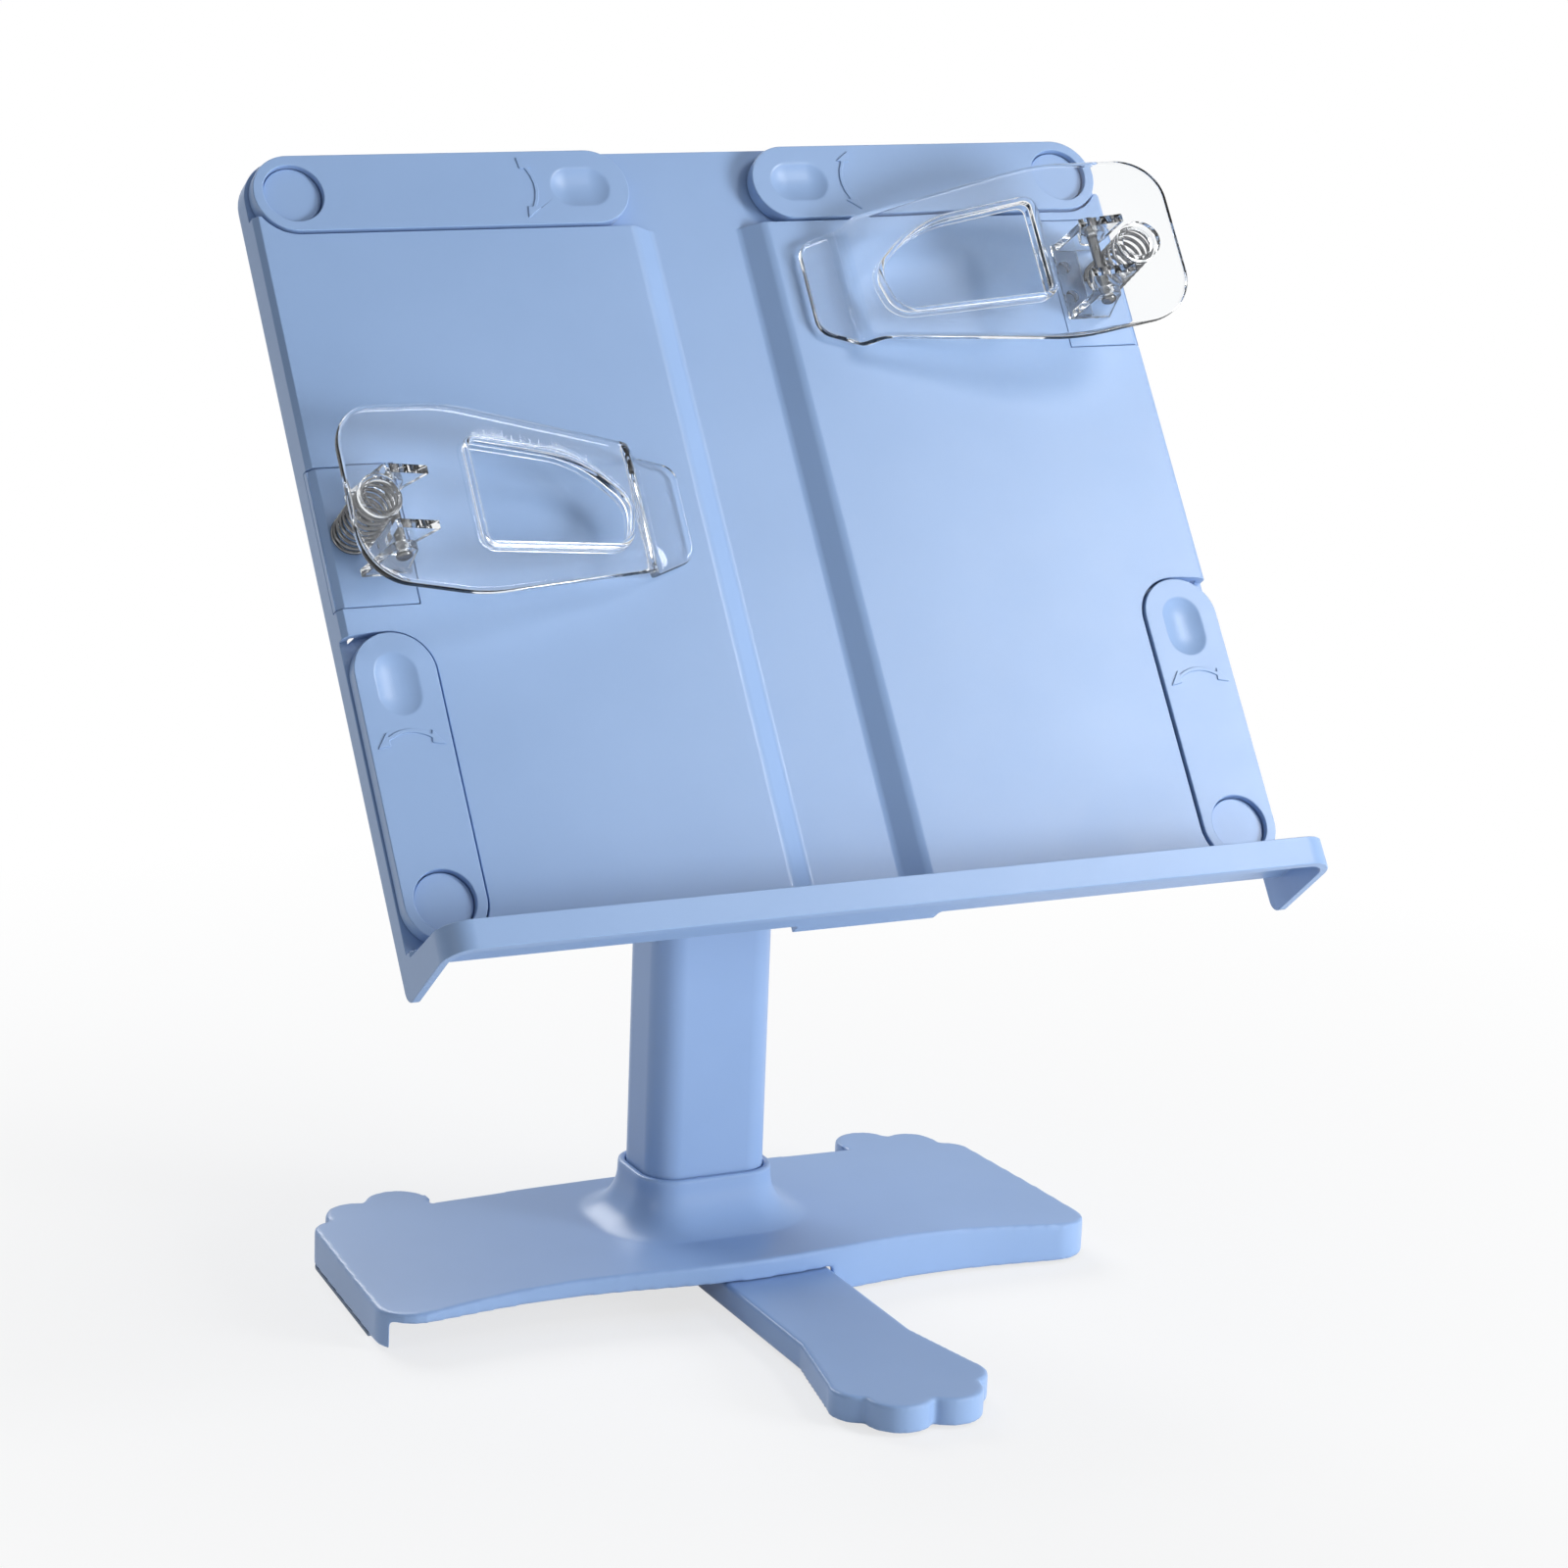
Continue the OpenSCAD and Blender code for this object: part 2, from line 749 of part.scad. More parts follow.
module bracket_screws() color(steel) on_board()
    for (x = SIDES, y = SIDES)
        translate([x * bracket_screw[0], hinge_u + y * bracket_screw[1],
            floor_back - mount_t - bracket_t]) {
            translate([0, 0, -screw_head_t])
                cylinder(r = screw_head_r, h = screw_head_t);
            cylinder(r = screw_r, h = bracket_t + mount_t + board_wall / 2);
        }

// Board

module board_outline(inset = 0, low = 0) {
    r = board_corner_r - inset;
    translate([-board_w / 2 + inset, low])
        square([board_w - 2 * inset, board_l - board_corner_r - low]);
    translate([-board_w / 2 + board_corner_r, low])
        square([board_w - 2 * board_corner_r, board_l - inset - low]);
    for (side = SIDES)
        translate([side * (board_w / 2 - board_corner_r), board_l - board_corner_r])
            circle(r);
}

module ledge_outline(inset, back) {
    r = ledge_r - inset;
    w = board_w / 2 - inset;
    front = ledge_d - inset;
    translate([-w, -back])
        square([2 * w, back + front - r]);
    translate([r - w, -back])
        square([2 * (w - r), back + front]);
    for (side = SIDES)
        translate([side * (w - r), front - r])
            circle(r);
}

// Outline of one arm, grown by a margin, at its place on the board: 0 and 1 top, 2 and 3 side
module arm_outline(i, margin = 0) {
    turn = i > 1 ? 90 : i == 0 ? 0 : 180;
    translate(studs[i])
        rotate(turn)
            stadium(i > 1 ? side_arm_c : top_arm_c, arm_r + margin);
}

module pads()
    for (side = SIDES)
        mirror([side > 0 ? 0 : 1, 0, 0]) {
            outer = board_w / 2;
            along_u(ledge_h - board_wall, pad_top)
                polygon([[chan_floor_w / 2, floor_n - weld], [chan_floor_w / 2, floor_n],
                    [chan_top_w / 2, 0], [outer - pad_bevel, 0], [outer, -pad_bevel],
                    [outer, floor_n - weld]]);
            // Ear that wraps the round end of the top arm
            along_u(pad_top - weld, pad_top + arm_r / 2)
                polygon([[top_x, floor_n - weld], [top_x, 0], [outer - pad_bevel, 0],
                    [outer, -pad_bevel], [outer, floor_n - weld]]);
        }

// Space behind a pad, with the walls of the arm's pocket and the tile's seat left standing
module pad_hollow(side)
    difference() {
        inner = chan_top_w / 2 + board_wall / 2;
        translate([side > 0 ? inner : board_wall - board_w / 2, -over, -2 * board_rim])
            cube([board_w / 2 - inner - board_wall, pad_top - board_wall + over,
                2 * board_rim - board_wall]);
        translate([0, 0, floor_back])
            linear_extrude(2 * pad_h)
                intersection() {
                    arm_outline(side > 0 ? 3 : 2, pocket_gap + board_wall);
                    translate([-board_w, ledge_h - board_wall])
                        square([2 * board_w, board_l]);
                }
        tile_box(side, board_wall, -tile_t - seat_t, 0);
    }

// Block around a clip's tile, grown by a margin
module tile_box(side, margin, n0, n1)
    translate([side > 0 ? board_w / 2 - tile_w - margin : -board_w / 2,
        clip_us[side > 0 ? 1 : 0] - tile_l / 2 - margin, n0])
        cube([tile_w + margin, tile_l + 2 * margin, n1 - n0]);

module board_ribs()
    for (side = SIDES) {
        x0 = chan_top_w / 2;
        run = board_w / 2 - board_wall / 2 - x0;
        for (u = rib_rows)
            translate([side > 0 ? x0 : -x0 - run, u, rib_n - board_rim])
                cube([run, rib_t, board_rim - rib_n - board_wall / 2]);
        translate([side * rib_x - rib_t / 2, ledge_h + rib_start, rib_n - board_rim])
            cube([rib_t, pad_top - ledge_h - rib_start - board_wall / 2, board_rim - rib_n - board_wall / 2]);
    }

module board() color(blue) on_board()
    difference() {
        union() {
            difference() {
                union() {
                    translate([0, 0, floor_back])
                        linear_extrude(board_wall)
                            board_outline(0, ledge_h - board_wall);
                    translate([0, 0, -board_rim])
                        linear_extrude(board_rim + floor_n)
                            difference() {
                                board_outline();
                                board_outline(board_wall, -over);
                            }
                    pads();
                    along_u(0, ledge_h)
                        ledge_outline(0, board_rim);
                }
                for (side = SIDES)
                    pad_hollow(side);
                along_u(-over, ledge_h - board_wall)
                    ledge_outline(board_wall, 2 * board_rim);
                translate([board_wall - board_w / 2, -over, -2 * board_rim])
                    cube([board_w - 2 * board_wall, ledge_h + over + weld, 2 * board_rim + floor_back]);
            }
            board_ribs();
            translate([-bracket_w / 2, hinge_u - bracket_l / 2, floor_back - mount_t])
                cube([bracket_w, bracket_l, mount_t + board_wall / 2]);
        }
        for (i = [0:3])
            translate([0, 0, floor_n])
                linear_extrude(2 * pad_h)
                    arm_outline(i, pocket_gap);
        // The pockets of the side arms are open outwards, over all that the arms sweep
        for (side = SIDES)
            translate([side * side_x, side_u, floor_n])
                linear_extrude(2 * pad_h)
                    intersection() {
                        circle(side_arm_c + arm_r + pocket_gap, $fn = 128);
                        translate([side > 0 ? 0 : -arm_w, -arm_r - pocket_gap])
                            square([arm_w, board_l]);
                    }
        for (side = SIDES)
            tile_box(side, 0, -tile_t, over);
        // The ledge's lower edge rises to the front, and its rear lower tips are round
        along_x(2 * board_w)
            polygon([[-over, tip_round - board_rim], [-over, ledge_d + over],
                [ledge_front_u, ledge_d + over], [0, tip_round - board_rim]]);
        translate([0, 0, -board_rim])
            along_x(2 * board_w)
                difference() {
                    translate([-over, -over])
                        square(tip_round + over);
                    translate([tip_round, tip_round])
                        circle(tip_round);
                }
        for (at = studs)
            translate([at[0], at[1], floor_back - over])
                cylinder(r = stud_r + pin_gap, h = pad_h + board_wall);
        for (x = SIDES, y = SIDES)
            translate([x * bracket_screw[0], hinge_u + y * bracket_screw[1],
                floor_back - mount_t - over])
                cylinder(r = screw_r + pin_gap, h = mount_t + over + board_wall / 2 + end_gap);
        for (side = SIDES, y = SIDES)
            translate([side * (board_w / 2 - tile_screw_s),
                clip_us[side > 0 ? 1 : 0] + y * tile_screw_v, -2 * board_rim]) {
                cylinder(r = tile_screw_r + pin_gap, h = 2 * board_rim);
                cylinder(r = tile_head_r + run_gap, h = 2 * board_rim - tile_t - seat_t);
            }
    }

// Arms

module arm_studs() color(blue) on_board()
    for (at = studs)
        translate([at[0], at[1], 0]) {
            translate([0, 0, head_face - head_t])
                cylinder(r = stud_head_r, h = head_t);
            translate([0, 0, stud_end])
                cylinder(r = stud_r, h = head_face - head_t / 2 - stud_end);
        }

// Push-on rings that hold the studs behind the board
module stud_rings() color(steel) on_board()
    for (at = studs)
        translate([at[0], at[1], floor_back - face_gap - ring_t])
            difference() {
                cylinder(r = stud_r + ring_w, h = ring_t);
                translate([0, 0, -over])
                    cylinder(r = stud_r + pin_gap, h = ring_t + 2 * over);
            }

// Shallow finger dish, long along X, with its rim on the XY plane
module finger_dish() {
    run = dish_l - dish_w;
    sink = sqrt(pow(dish_cut_r, 2) - pow(dish_w / 2, 2));
    translate([0, 0, sink]) {
        rotate([0, 90, 0])
            cylinder(r = dish_cut_r, h = run, center = true);
        for (side = SIDES)
            translate([side * run / 2, 0, 0])
                sphere(dish_cut_r);
    }
}

// Raised arc with a head at each end, centred on the pivot
module swing_arrow(radius) {
    half = arrow_span / radius * 90 / PI * 2;
    linear_extrude(arrow_h + arrow_root)
        difference() {
            intersection() {
                circle(radius + arrow_w / 2);
                polygon([[0, 0], 2 * radius * [cos(half), -sin(half)],
                    2 * radius * [cos(half), sin(half)]]);
            }
            circle(radius - arrow_w / 2);
        }
    for (side = SIDES)
        rotate([0, 0, side * half])
            translate([radius, side * arrow_reach, 0])
                linear_extrude(arrow_h + arrow_root)
                    polygon([[-arrow_head[0], -side * arrow_head[1]],
                        [arrow_head[0], -side * arrow_head[1]], [0, side * arrow_head[2]]]);
}

module arm(i) {
    c = i > 1 ? side_arm_c : top_arm_c;
    turn = i > 1 ? 90 : i == 0 ? 0 : 180;
    color(blue) on_board()
        translate([studs[i][0], studs[i][1], 0])
            rotate([0, 0, turn]) {
                difference() {
                    translate([0, 0, arm_n])
                        linear_extrude(arm_t)
                            stadium(c, arm_r);
                    translate([0, 0, arm_n - over])
                        cylinder(r = stud_r + pin_gap, h = arm_t + 2 * over);
                    translate([0, 0, head_face - head_t - run_gap])
                        cylinder(r = stud_head_r + run_gap, h = arm_t);
                    translate([c - dish_in, 0, arm_face])
                        finger_dish();
                }
                translate([0, 0, arm_face - arrow_root])
                    swing_arrow(c - arrow_in);
            }
}

module arm_top_left() arm(0);
module arm_top_right() arm(1);
module arm_side_left() arm(2);
module arm_side_right() arm(3);

// Clips

module clip_tile(side) color(blue) on_clip(side) {
    difference() {
        translate([0, seam_gap - tile_l / 2, face_gap - tile_t])
            cube([tile_w - seam_gap, tile_l - 2 * seam_gap, tile_t - face_gap]);
        // The tile's outer edge follows the pad's bevel
        translate([0, -tile_l, 0])
            rotate([0, 45, 0])
                translate([-pad_bevel, 0, -pad_bevel / sqrt(2)])
                    cube([2 * pad_bevel, 2 * tile_l, 2 * pad_bevel]);
        for (y = SIDES) {
            translate([tile_screw_s, y * tile_screw_v, -tile_t])
                cylinder(r = tile_screw_r + pin_gap, h = tile_t - tile_skin);
            translate([peg_s, y * peg_v, -tile_t])
                cylinder(r = peg_r + pin_gap, h = tile_t + over);
        }
    }
    // Spigot that the spring stands over
    translate([spring_s, 0, -weld])
        cylinder(r = spigot_r, h = spigot_h + weld);
}

module clip_tile_left() clip_tile(-1);
module clip_tile_right() clip_tile(1);

module clip_tile_screws() color(steel)
    for (side = SIDES)
        on_clip(side)
            for (y = SIDES)
                translate([tile_screw_s, y * tile_screw_v, -tile_t - seat_t - screw_head_t]) {
                    cylinder(r = tile_head_r, h = screw_head_t);
                    cylinder(r = tile_screw_r, h = screw_head_t + seat_t + tile_t - tile_skin - end_gap);
                }

// Pair of plates either side of the clip's middle
module clip_pair(v0, v1)
    for (v = [v0, -v1])
        along_v(v, v1 - v0)
            children();

// Outline in X and Z of the clip frame, drawn up the slope from v0
module along_v(v0, run) {
    translate([0, v0 + run, 0])
        rotate([90, 0, 0])
            linear_extrude(run)
                children();
}

module clip_bracket(side) color(clear) on_clip(side)
    difference() {
        union() {
            translate([plate_s, -ear_out_v, 0])
                cube([tile_w - plate_out - plate_s, 2 * ear_out_v, bracket_base]);
            clip_pair(ear_in_v, ear_out_v) {
                translate([pin_in, pin_rise])
                    circle(clip_ear_r);
                polygon([[pin_in - ear_back, 0], [pin_in + ear_front, 0], [pin_in + clip_ear_r, pin_rise],
                    [pin_in - clip_ear_r, pin_rise]]);
            }
            for (y = SIDES)
                translate([peg_s, y * peg_v, end_gap - tile_t])
                    cylinder(r = peg_r, h = tile_t);
        }
        translate([pin_in, 0, pin_rise])
            rotate([90, 0, 0])
                cylinder(r = pin_r + pin_gap, h = tile_l, center = true);
    }

module clip_bracket_left() clip_bracket(-1);
module clip_bracket_right() clip_bracket(1);

module clip_pin(side) color(steel) on_clip(side)
    translate([pin_in, 0, pin_rise]) {
        rotate([90, 0, 0])
            cylinder(r = pin_r, h = 2 * (ear_out_v + weld), center = true);
        for (side_v = SIDES)
            rotate([side_v * 90, 0, 0])
                translate([0, 0, ear_out_v + face_gap]) {
                    cylinder(r = head_r, h = pin_head_t);
                    translate([0, 0, pin_head_t])
                        intersection() {
                            translate([0, 0, -head_r])
                                sphere(head_r * sqrt(2));
                            cylinder(r = head_r, h = head_r);
                        }
                }
    }

module clip_pin_left() clip_pin(-1);
module clip_pin_right() clip_pin(1);

// Lever seen square to the board: a leaf that narrows to a blunt tip
module lever_plan()
    polygon(round_path(concat(
        [for (i = [0:len(lever_half) - 1]) lever_half[i]],
        [for (i = [len(lever_half) - 1:-1:0]) [lever_half[i][0], -lever_half[i][1], lever_half[i][2]]]), 6));

// Window in the lever, grown by a margin
module window_plan(m = 0)
    polygon(round_path([for (i = [0:len(window) - 1])
        [window[i][0] + m * window_grow[i][0], window[i][1] + m * window_grow[i][1], window[i][2] + m]], 6));

// Side view of the sloping plate, grown below and above
module lever_side(down = 0, up = 0)
    polygon([[-lever_out - over, under(-lever_out - over) - down], [step_s, under(step_s) - down],
        [step_s, under(step_s) + lever_t + up],
        [-lever_out - over, under(-lever_out - over) + lever_t + up]]);

// Side view of the flat tip and the riser up to the plate
module tip_side() {
    translate([step_s - riser_t, tip_n])
        square([tip_l + riser_t, lever_t]);
    translate([step_s - riser_t, tip_n])
        square([riser_t, under(step_s) + lever_t - tip_n]);
}

module clip_lever(side) color(clear) on_clip(side)
    difference() {
        union() {
            intersection() {
                along_v(-lever_w, 2 * lever_w) {
                    lever_side();
                    tip_side();
                }
                linear_extrude(3 * lever_rise)
                    lever_plan();
            }
            // Rim around the window
            intersection() {
                along_v(-lever_w, 2 * lever_w)
                    lever_side(rim_down, rim_up);
                linear_extrude(3 * lever_rise)
                    window_plan(rim_t);
            }
            clip_pair(lug_in_v, lug_out_v) {
                translate([pin_in, pin_rise])
                    circle(clip_ear_r);
                polygon([[pin_in - clip_ear_r, pin_rise], [pin_in + clip_ear_r, pin_rise],
                    [pin_in + lug_front, under(pin_in + lug_front) + weld],
                    [pin_in - lug_back, under(pin_in - lug_back) + weld]]);
            }
            // Seat and spigot for the spring
            intersection() {
                translate([spring_s, 0, seat_n])
                    cylinder(r = spring_r + run_gap, h = lever_rise);
                along_v(-lever_w, 2 * lever_w)
                    polygon([[-lever_out, 0], [step_s, 0], [step_s, under(step_s) + lever_t / 2],
                        [-lever_out, under(-lever_out) + lever_t / 2]]);
            }
            translate([spring_s, 0, seat_n - lever_spigot_h])
                cylinder(r = spigot_r, h = lever_spigot_h + weld);
        }
        linear_extrude(3 * lever_rise)
            window_plan();
        translate([pin_in, 0, pin_rise])
            rotate([90, 0, 0])
                cylinder(r = pin_r + pin_gap, h = tile_l, center = true);
    }

module clip_lever_left() clip_lever(-1);
module clip_lever_right() clip_lever(1);

// Springs: one wire that rises straight from its seat, winds up and ends straight at the top

spring_steps = 8;
spring_sides = 6;
coil_low = spring_low + 1.5 * wire_d;
coil_high = spring_top - 1.5 * wire_d;
spring_count = round(spring_turns) * spring_steps;
spring_path = concat(
    [[coil_r, 0, spring_low], [coil_r, 0, spring_low + wire_d]],
    [for (i = [1:spring_count - 1]) let (a = 360 * i / spring_steps)
        [coil_r * cos(a), coil_r * sin(a), coil_low + (coil_high - coil_low) * i / spring_count]],
    [[coil_r, 0, spring_top - wire_d], [coil_r, 0, spring_top]]);
spring_gap = min([for (i = [0:len(spring_path) - 1])
    for (j = [i + 5:1:len(spring_path) - 1]) norm(spring_path[i] - spring_path[j])]) - wire_d;
echo(spring_gap = spring_gap);

module clip_spring(side) color(steel) on_clip(side)
    translate([spring_s, 0, 0]) {
        last = len(spring_path) - 1;
        rings = [for (i = [0:last])
            let (way = unit(spring_path[min(i + 1, last)] - spring_path[max(i - 1, 0)]),
                out = unit([spring_path[i][0], spring_path[i][1], 0]),
                across = unit(cross(way, out)),
                up = cross(across, way))
            for (k = [0:spring_sides - 1]) let (a = 360 * k / spring_sides)
                spring_path[i] + wire_d / 2 * (cos(a) * across + sin(a) * up)];
        sides = [for (i = [0:last - 1]) for (k = [0:spring_sides - 1])
            let (a = i * spring_sides + k, b = i * spring_sides + (k + 1) % spring_sides)
            each [[a, b + spring_sides, b], [a, a + spring_sides, b + spring_sides]]];
        ends = [for (k = [1:spring_sides - 2])
            each [[0, k, k + 1],
                [last * spring_sides, last * spring_sides + k + 1, last * spring_sides + k]]];
        polyhedron(rings, concat(sides, ends));
    }

module clip_spring_left() clip_spring(-1);
module clip_spring_right() clip_spring(1);

base_shell();
base_feet();
leg_pivot_pin();
front_leg();
leg_foot_pad();
outer_column();
column_screws();
column_cap();
lock_screw();
lock_knob();
inner_column();
hinge_washers();
hinge_bolt();
tilt_knob();
hinge_bracket();
bracket_screws();
board();
arm_studs();
stud_rings();
arm_top_left();
arm_top_right();
arm_side_left();
arm_side_right();
clip_tile_left();
clip_tile_right();
clip_tile_screws();
clip_bracket_left();
clip_bracket_right();
clip_pin_left();
clip_pin_right();
clip_lever_left();
clip_lever_right();
clip_spring_left();
clip_spring_right();
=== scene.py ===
"""Book stand: tilting board with swing arms and clear page clips, on a column over a low base."""

import json
import math

import bmesh
import bpy
from mathutils import Matrix, Vector
from mathutils.geometry import delaunay_2d_cdt

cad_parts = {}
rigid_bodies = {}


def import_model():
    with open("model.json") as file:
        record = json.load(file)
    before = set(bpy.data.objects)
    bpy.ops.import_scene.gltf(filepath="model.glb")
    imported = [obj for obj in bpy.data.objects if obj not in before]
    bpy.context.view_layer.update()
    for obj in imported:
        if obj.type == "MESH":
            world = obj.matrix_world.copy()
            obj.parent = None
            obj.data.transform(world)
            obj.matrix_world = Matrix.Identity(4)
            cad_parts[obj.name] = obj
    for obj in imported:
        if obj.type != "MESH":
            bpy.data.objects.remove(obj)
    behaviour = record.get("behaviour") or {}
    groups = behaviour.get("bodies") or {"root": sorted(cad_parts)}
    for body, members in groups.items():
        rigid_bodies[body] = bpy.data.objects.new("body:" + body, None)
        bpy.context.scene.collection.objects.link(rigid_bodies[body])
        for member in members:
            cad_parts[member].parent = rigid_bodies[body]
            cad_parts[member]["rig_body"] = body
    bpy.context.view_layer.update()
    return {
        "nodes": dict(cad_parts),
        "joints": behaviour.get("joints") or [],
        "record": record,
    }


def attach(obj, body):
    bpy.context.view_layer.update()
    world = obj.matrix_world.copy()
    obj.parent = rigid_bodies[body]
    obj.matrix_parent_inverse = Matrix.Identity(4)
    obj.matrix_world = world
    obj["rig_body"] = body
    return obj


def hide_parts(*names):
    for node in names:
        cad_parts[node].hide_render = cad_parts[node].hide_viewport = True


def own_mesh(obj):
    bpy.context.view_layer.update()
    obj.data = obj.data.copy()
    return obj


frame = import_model()
nodes = frame["nodes"]
scene = bpy.context.scene
MM = 0.001

# Board frame: x across, u up the slope, n out of the face, in millimetres

TILT = math.radians(36)
HINGE_U = 162
HINGE_BEHIND = 28
BOARD_HALF = 140
AXIS_X = Vector((1, 0, 0))
AXIS_U = Vector((0, math.sin(TILT), math.cos(TILT)))
AXIS_N = Vector((0, -math.cos(TILT), math.sin(TILT)))


def joint_place(name):
    """World place of a joint."""
    return next(Vector(j["pos_m"]) for j in frame["joints"] if j["name"] == name)


BOARD = joint_place("board_tilt") - AXIS_U * HINGE_U * MM + AXIS_N * HINGE_BEHIND * MM


def board_point(x, u, n):
    """World point of a place on the board."""
    return BOARD + (AXIS_X * x + AXIS_U * u + AXIS_N * n) * MM


def to_board(p):
    """Place on the board of a world point."""
    d = (p - BOARD) / MM
    return Vector((d.dot(AXIS_X), d.dot(AXIS_U), d.dot(AXIS_N)))


# Clip frame: s in from the board's edge, v up the slope from the clip's middle, n out of the face

SIDE_WORD = {-1: "left", 1: "right"}
CLIP_U = {-1: 135.8, 1: 207.0}


def clip_point(side, s, v, n):
    """World point of a place in the frame of the clip on one side of the board."""
    return board_point(side * (BOARD_HALF - s), CLIP_U[side] + v, n)


# Camera at the photograph's view

CAMERA_PLACE = (-0.566428, -1.14004, 0.500579)
YAW = 0.46200
PITCH = 0.25640
ROLL = 0.03839
FOCAL_PX = 4537.55
IMAGE_PX = 1600
SENSOR_MM = 36


def add_camera():
    forward = Vector((math.sin(YAW) * math.cos(PITCH), math.cos(YAW) * math.cos(PITCH), -math.sin(PITCH)))
    side = Vector((math.cos(YAW), -math.sin(YAW), 0))
    up = side.cross(forward)
    right = side * math.cos(ROLL) + up * math.sin(ROLL)
    top = up * math.cos(ROLL) - side * math.sin(ROLL)
    data = bpy.data.cameras.new("camera")
    data.sensor_width = SENSOR_MM
    data.lens = FOCAL_PX * SENSOR_MM / IMAGE_PX
    camera = bpy.data.objects.new("camera", data)
    scene.collection.objects.link(camera)
    turn = Matrix((right, top, -forward)).transposed().to_4x4()
    camera.matrix_world = Matrix.Translation(CAMERA_PLACE) @ turn
    scene.camera = camera


# Materials

# Range that most values of a noise texture lie in
NOISE_LOW = 0.3
NOISE_HIGH = 0.7


class Finish:
    """Small helper around one material's node tree. Noise scales are per metre, distances in metres."""

    def __init__(self, name):
        self.material = bpy.data.materials.new(name)
        self.material.use_nodes = True
        self.tree = self.material.node_tree
        self.shader = self.tree.nodes["Principled BSDF"]
        self.place = self.add("ShaderNodeTexCoord").outputs["Object"]

    def add(self, kind, **values):
        node = self.tree.nodes.new(kind)
        for key, value in values.items():
            setattr(node, key, value)
        return node

    def link(self, a, b):
        self.tree.links.new(a, b)

    def noise(self, scale, detail):
        node = self.add("ShaderNodeTexNoise")
        node.inputs["Scale"].default_value = scale
        node.inputs["Detail"].default_value = detail
        self.link(self.place, node.inputs["Vector"])
        return node.outputs["Fac"]

    def ramp(self, fac, low, high):
        """Colour that goes from low to high with a noise."""
        node = self.add("ShaderNodeValToRGB")
        node.color_ramp.elements[0].position = NOISE_LOW
        node.color_ramp.elements[0].color = (*low, 1)
        node.color_ramp.elements[1].position = NOISE_HIGH
        node.color_ramp.elements[1].color = (*high, 1)
        self.link(fac, node.inputs["Fac"])
        return node.outputs["Color"]

    def spread(self, fac, low, high):
        """Number that goes from low to high with a noise."""
        node = self.add("ShaderNodeMapRange")
        node.inputs["From Min"].default_value = NOISE_LOW
        node.inputs["From Max"].default_value = NOISE_HIGH
        node.inputs["To Min"].default_value = low
        node.inputs["To Max"].default_value = high
        self.link(fac, node.inputs["Value"])
        return node.outputs["Result"]

    def bump(self, height, strength, distance, below=None):
        node = self.add("ShaderNodeBump")
        node.inputs["Strength"].default_value = strength
        node.inputs["Distance"].default_value = distance
        self.link(height, node.inputs["Height"])
        if below is not None:
            self.link(below, node.inputs["Normal"])
        return node.outputs["Normal"]

    def set(self, **values):
        for key, value in values.items():
            self.shader.inputs[key.replace("_", " ")].default_value = value

    def use(self, socket, value):
        self.link(value, self.shader.inputs[socket])


def blue_plastic():
    m = Finish("blue_plastic")
    mottle = m.noise(scale=22, detail=4)
    m.use("Base Color", m.ramp(mottle, low=(0.272, 0.410, 0.668), high=(0.290, 0.432, 0.696)))
    m.use("Roughness", m.spread(m.noise(scale=70, detail=5), low=0.315, high=0.345))
    grain = m.bump(m.noise(scale=2600, detail=2), strength=0.10, distance=0.00012)
    m.use("Normal", m.bump(m.noise(scale=16, detail=1), strength=0.012, distance=0.0006, below=grain))
    m.set(IOR=1.5, Specular_IOR_Level=0.5)
    return m.material


def clear_plastic():
    m = Finish("clear_plastic")
    mottle = m.noise(scale=30, detail=2)
    m.use("Base Color", m.ramp(mottle, low=(0.955, 0.972, 0.985), high=(0.975, 0.987, 0.995)))
    m.use("Roughness", m.spread(m.noise(scale=120, detail=4), low=0.015, high=0.06))
    m.use("Normal", m.bump(m.noise(scale=45, detail=2), strength=0.05, distance=0.0008))
    m.set(Transmission_Weight=1.0, IOR=1.47, Specular_IOR_Level=0.5)
    return m.material


def steel():
    m = Finish("steel")
    mottle = m.noise(scale=260, detail=4)
    m.use("Base Color", m.ramp(mottle, low=(0.150, 0.153, 0.160), high=(0.240, 0.243, 0.250)))
    m.use("Roughness", m.spread(m.noise(scale=900, detail=4), low=0.08, high=0.17))
    m.use("Normal", m.bump(m.noise(scale=3800, detail=2), strength=0.05, distance=0.00006))
    m.set(Metallic=1.0, Specular_Tint=(0.04, 0.04, 0.045, 1))
    return m.material


def rubber():
    m = Finish("rubber")
    mottle = m.noise(scale=300, detail=4)
    m.use("Base Color", m.ramp(mottle, low=(0.190, 0.240, 0.325), high=(0.230, 0.285, 0.375)))
    m.use("Roughness", m.spread(m.noise(scale=500, detail=4), low=0.68, high=0.84))
    m.use("Normal", m.bump(m.noise(scale=2200, detail=3), strength=0.25, distance=0.0002))
    return m.material


MATERIALS = {
    "blue_plastic": blue_plastic(),
    "clear_plastic": clear_plastic(),
    "steel": steel(),
    "rubber": rubber(),
}
SLOT = {p["node"]: p["material_slot"] for p in frame["record"]["subparts"]}


# Pieces


def place_piece(name, mesh, body, slot):
    piece = bpy.data.objects.new(name, mesh)
    scene.collection.objects.link(piece)
    mesh.materials.clear()
    mesh.materials.append(MATERIALS[slot])
    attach(piece, body)
    return piece


def new_holder(name, mesh):
    """Object that only lives until its modifiers are applied."""
    holder = bpy.data.objects.new(name, mesh)
    scene.collection.objects.link(holder)
    return holder


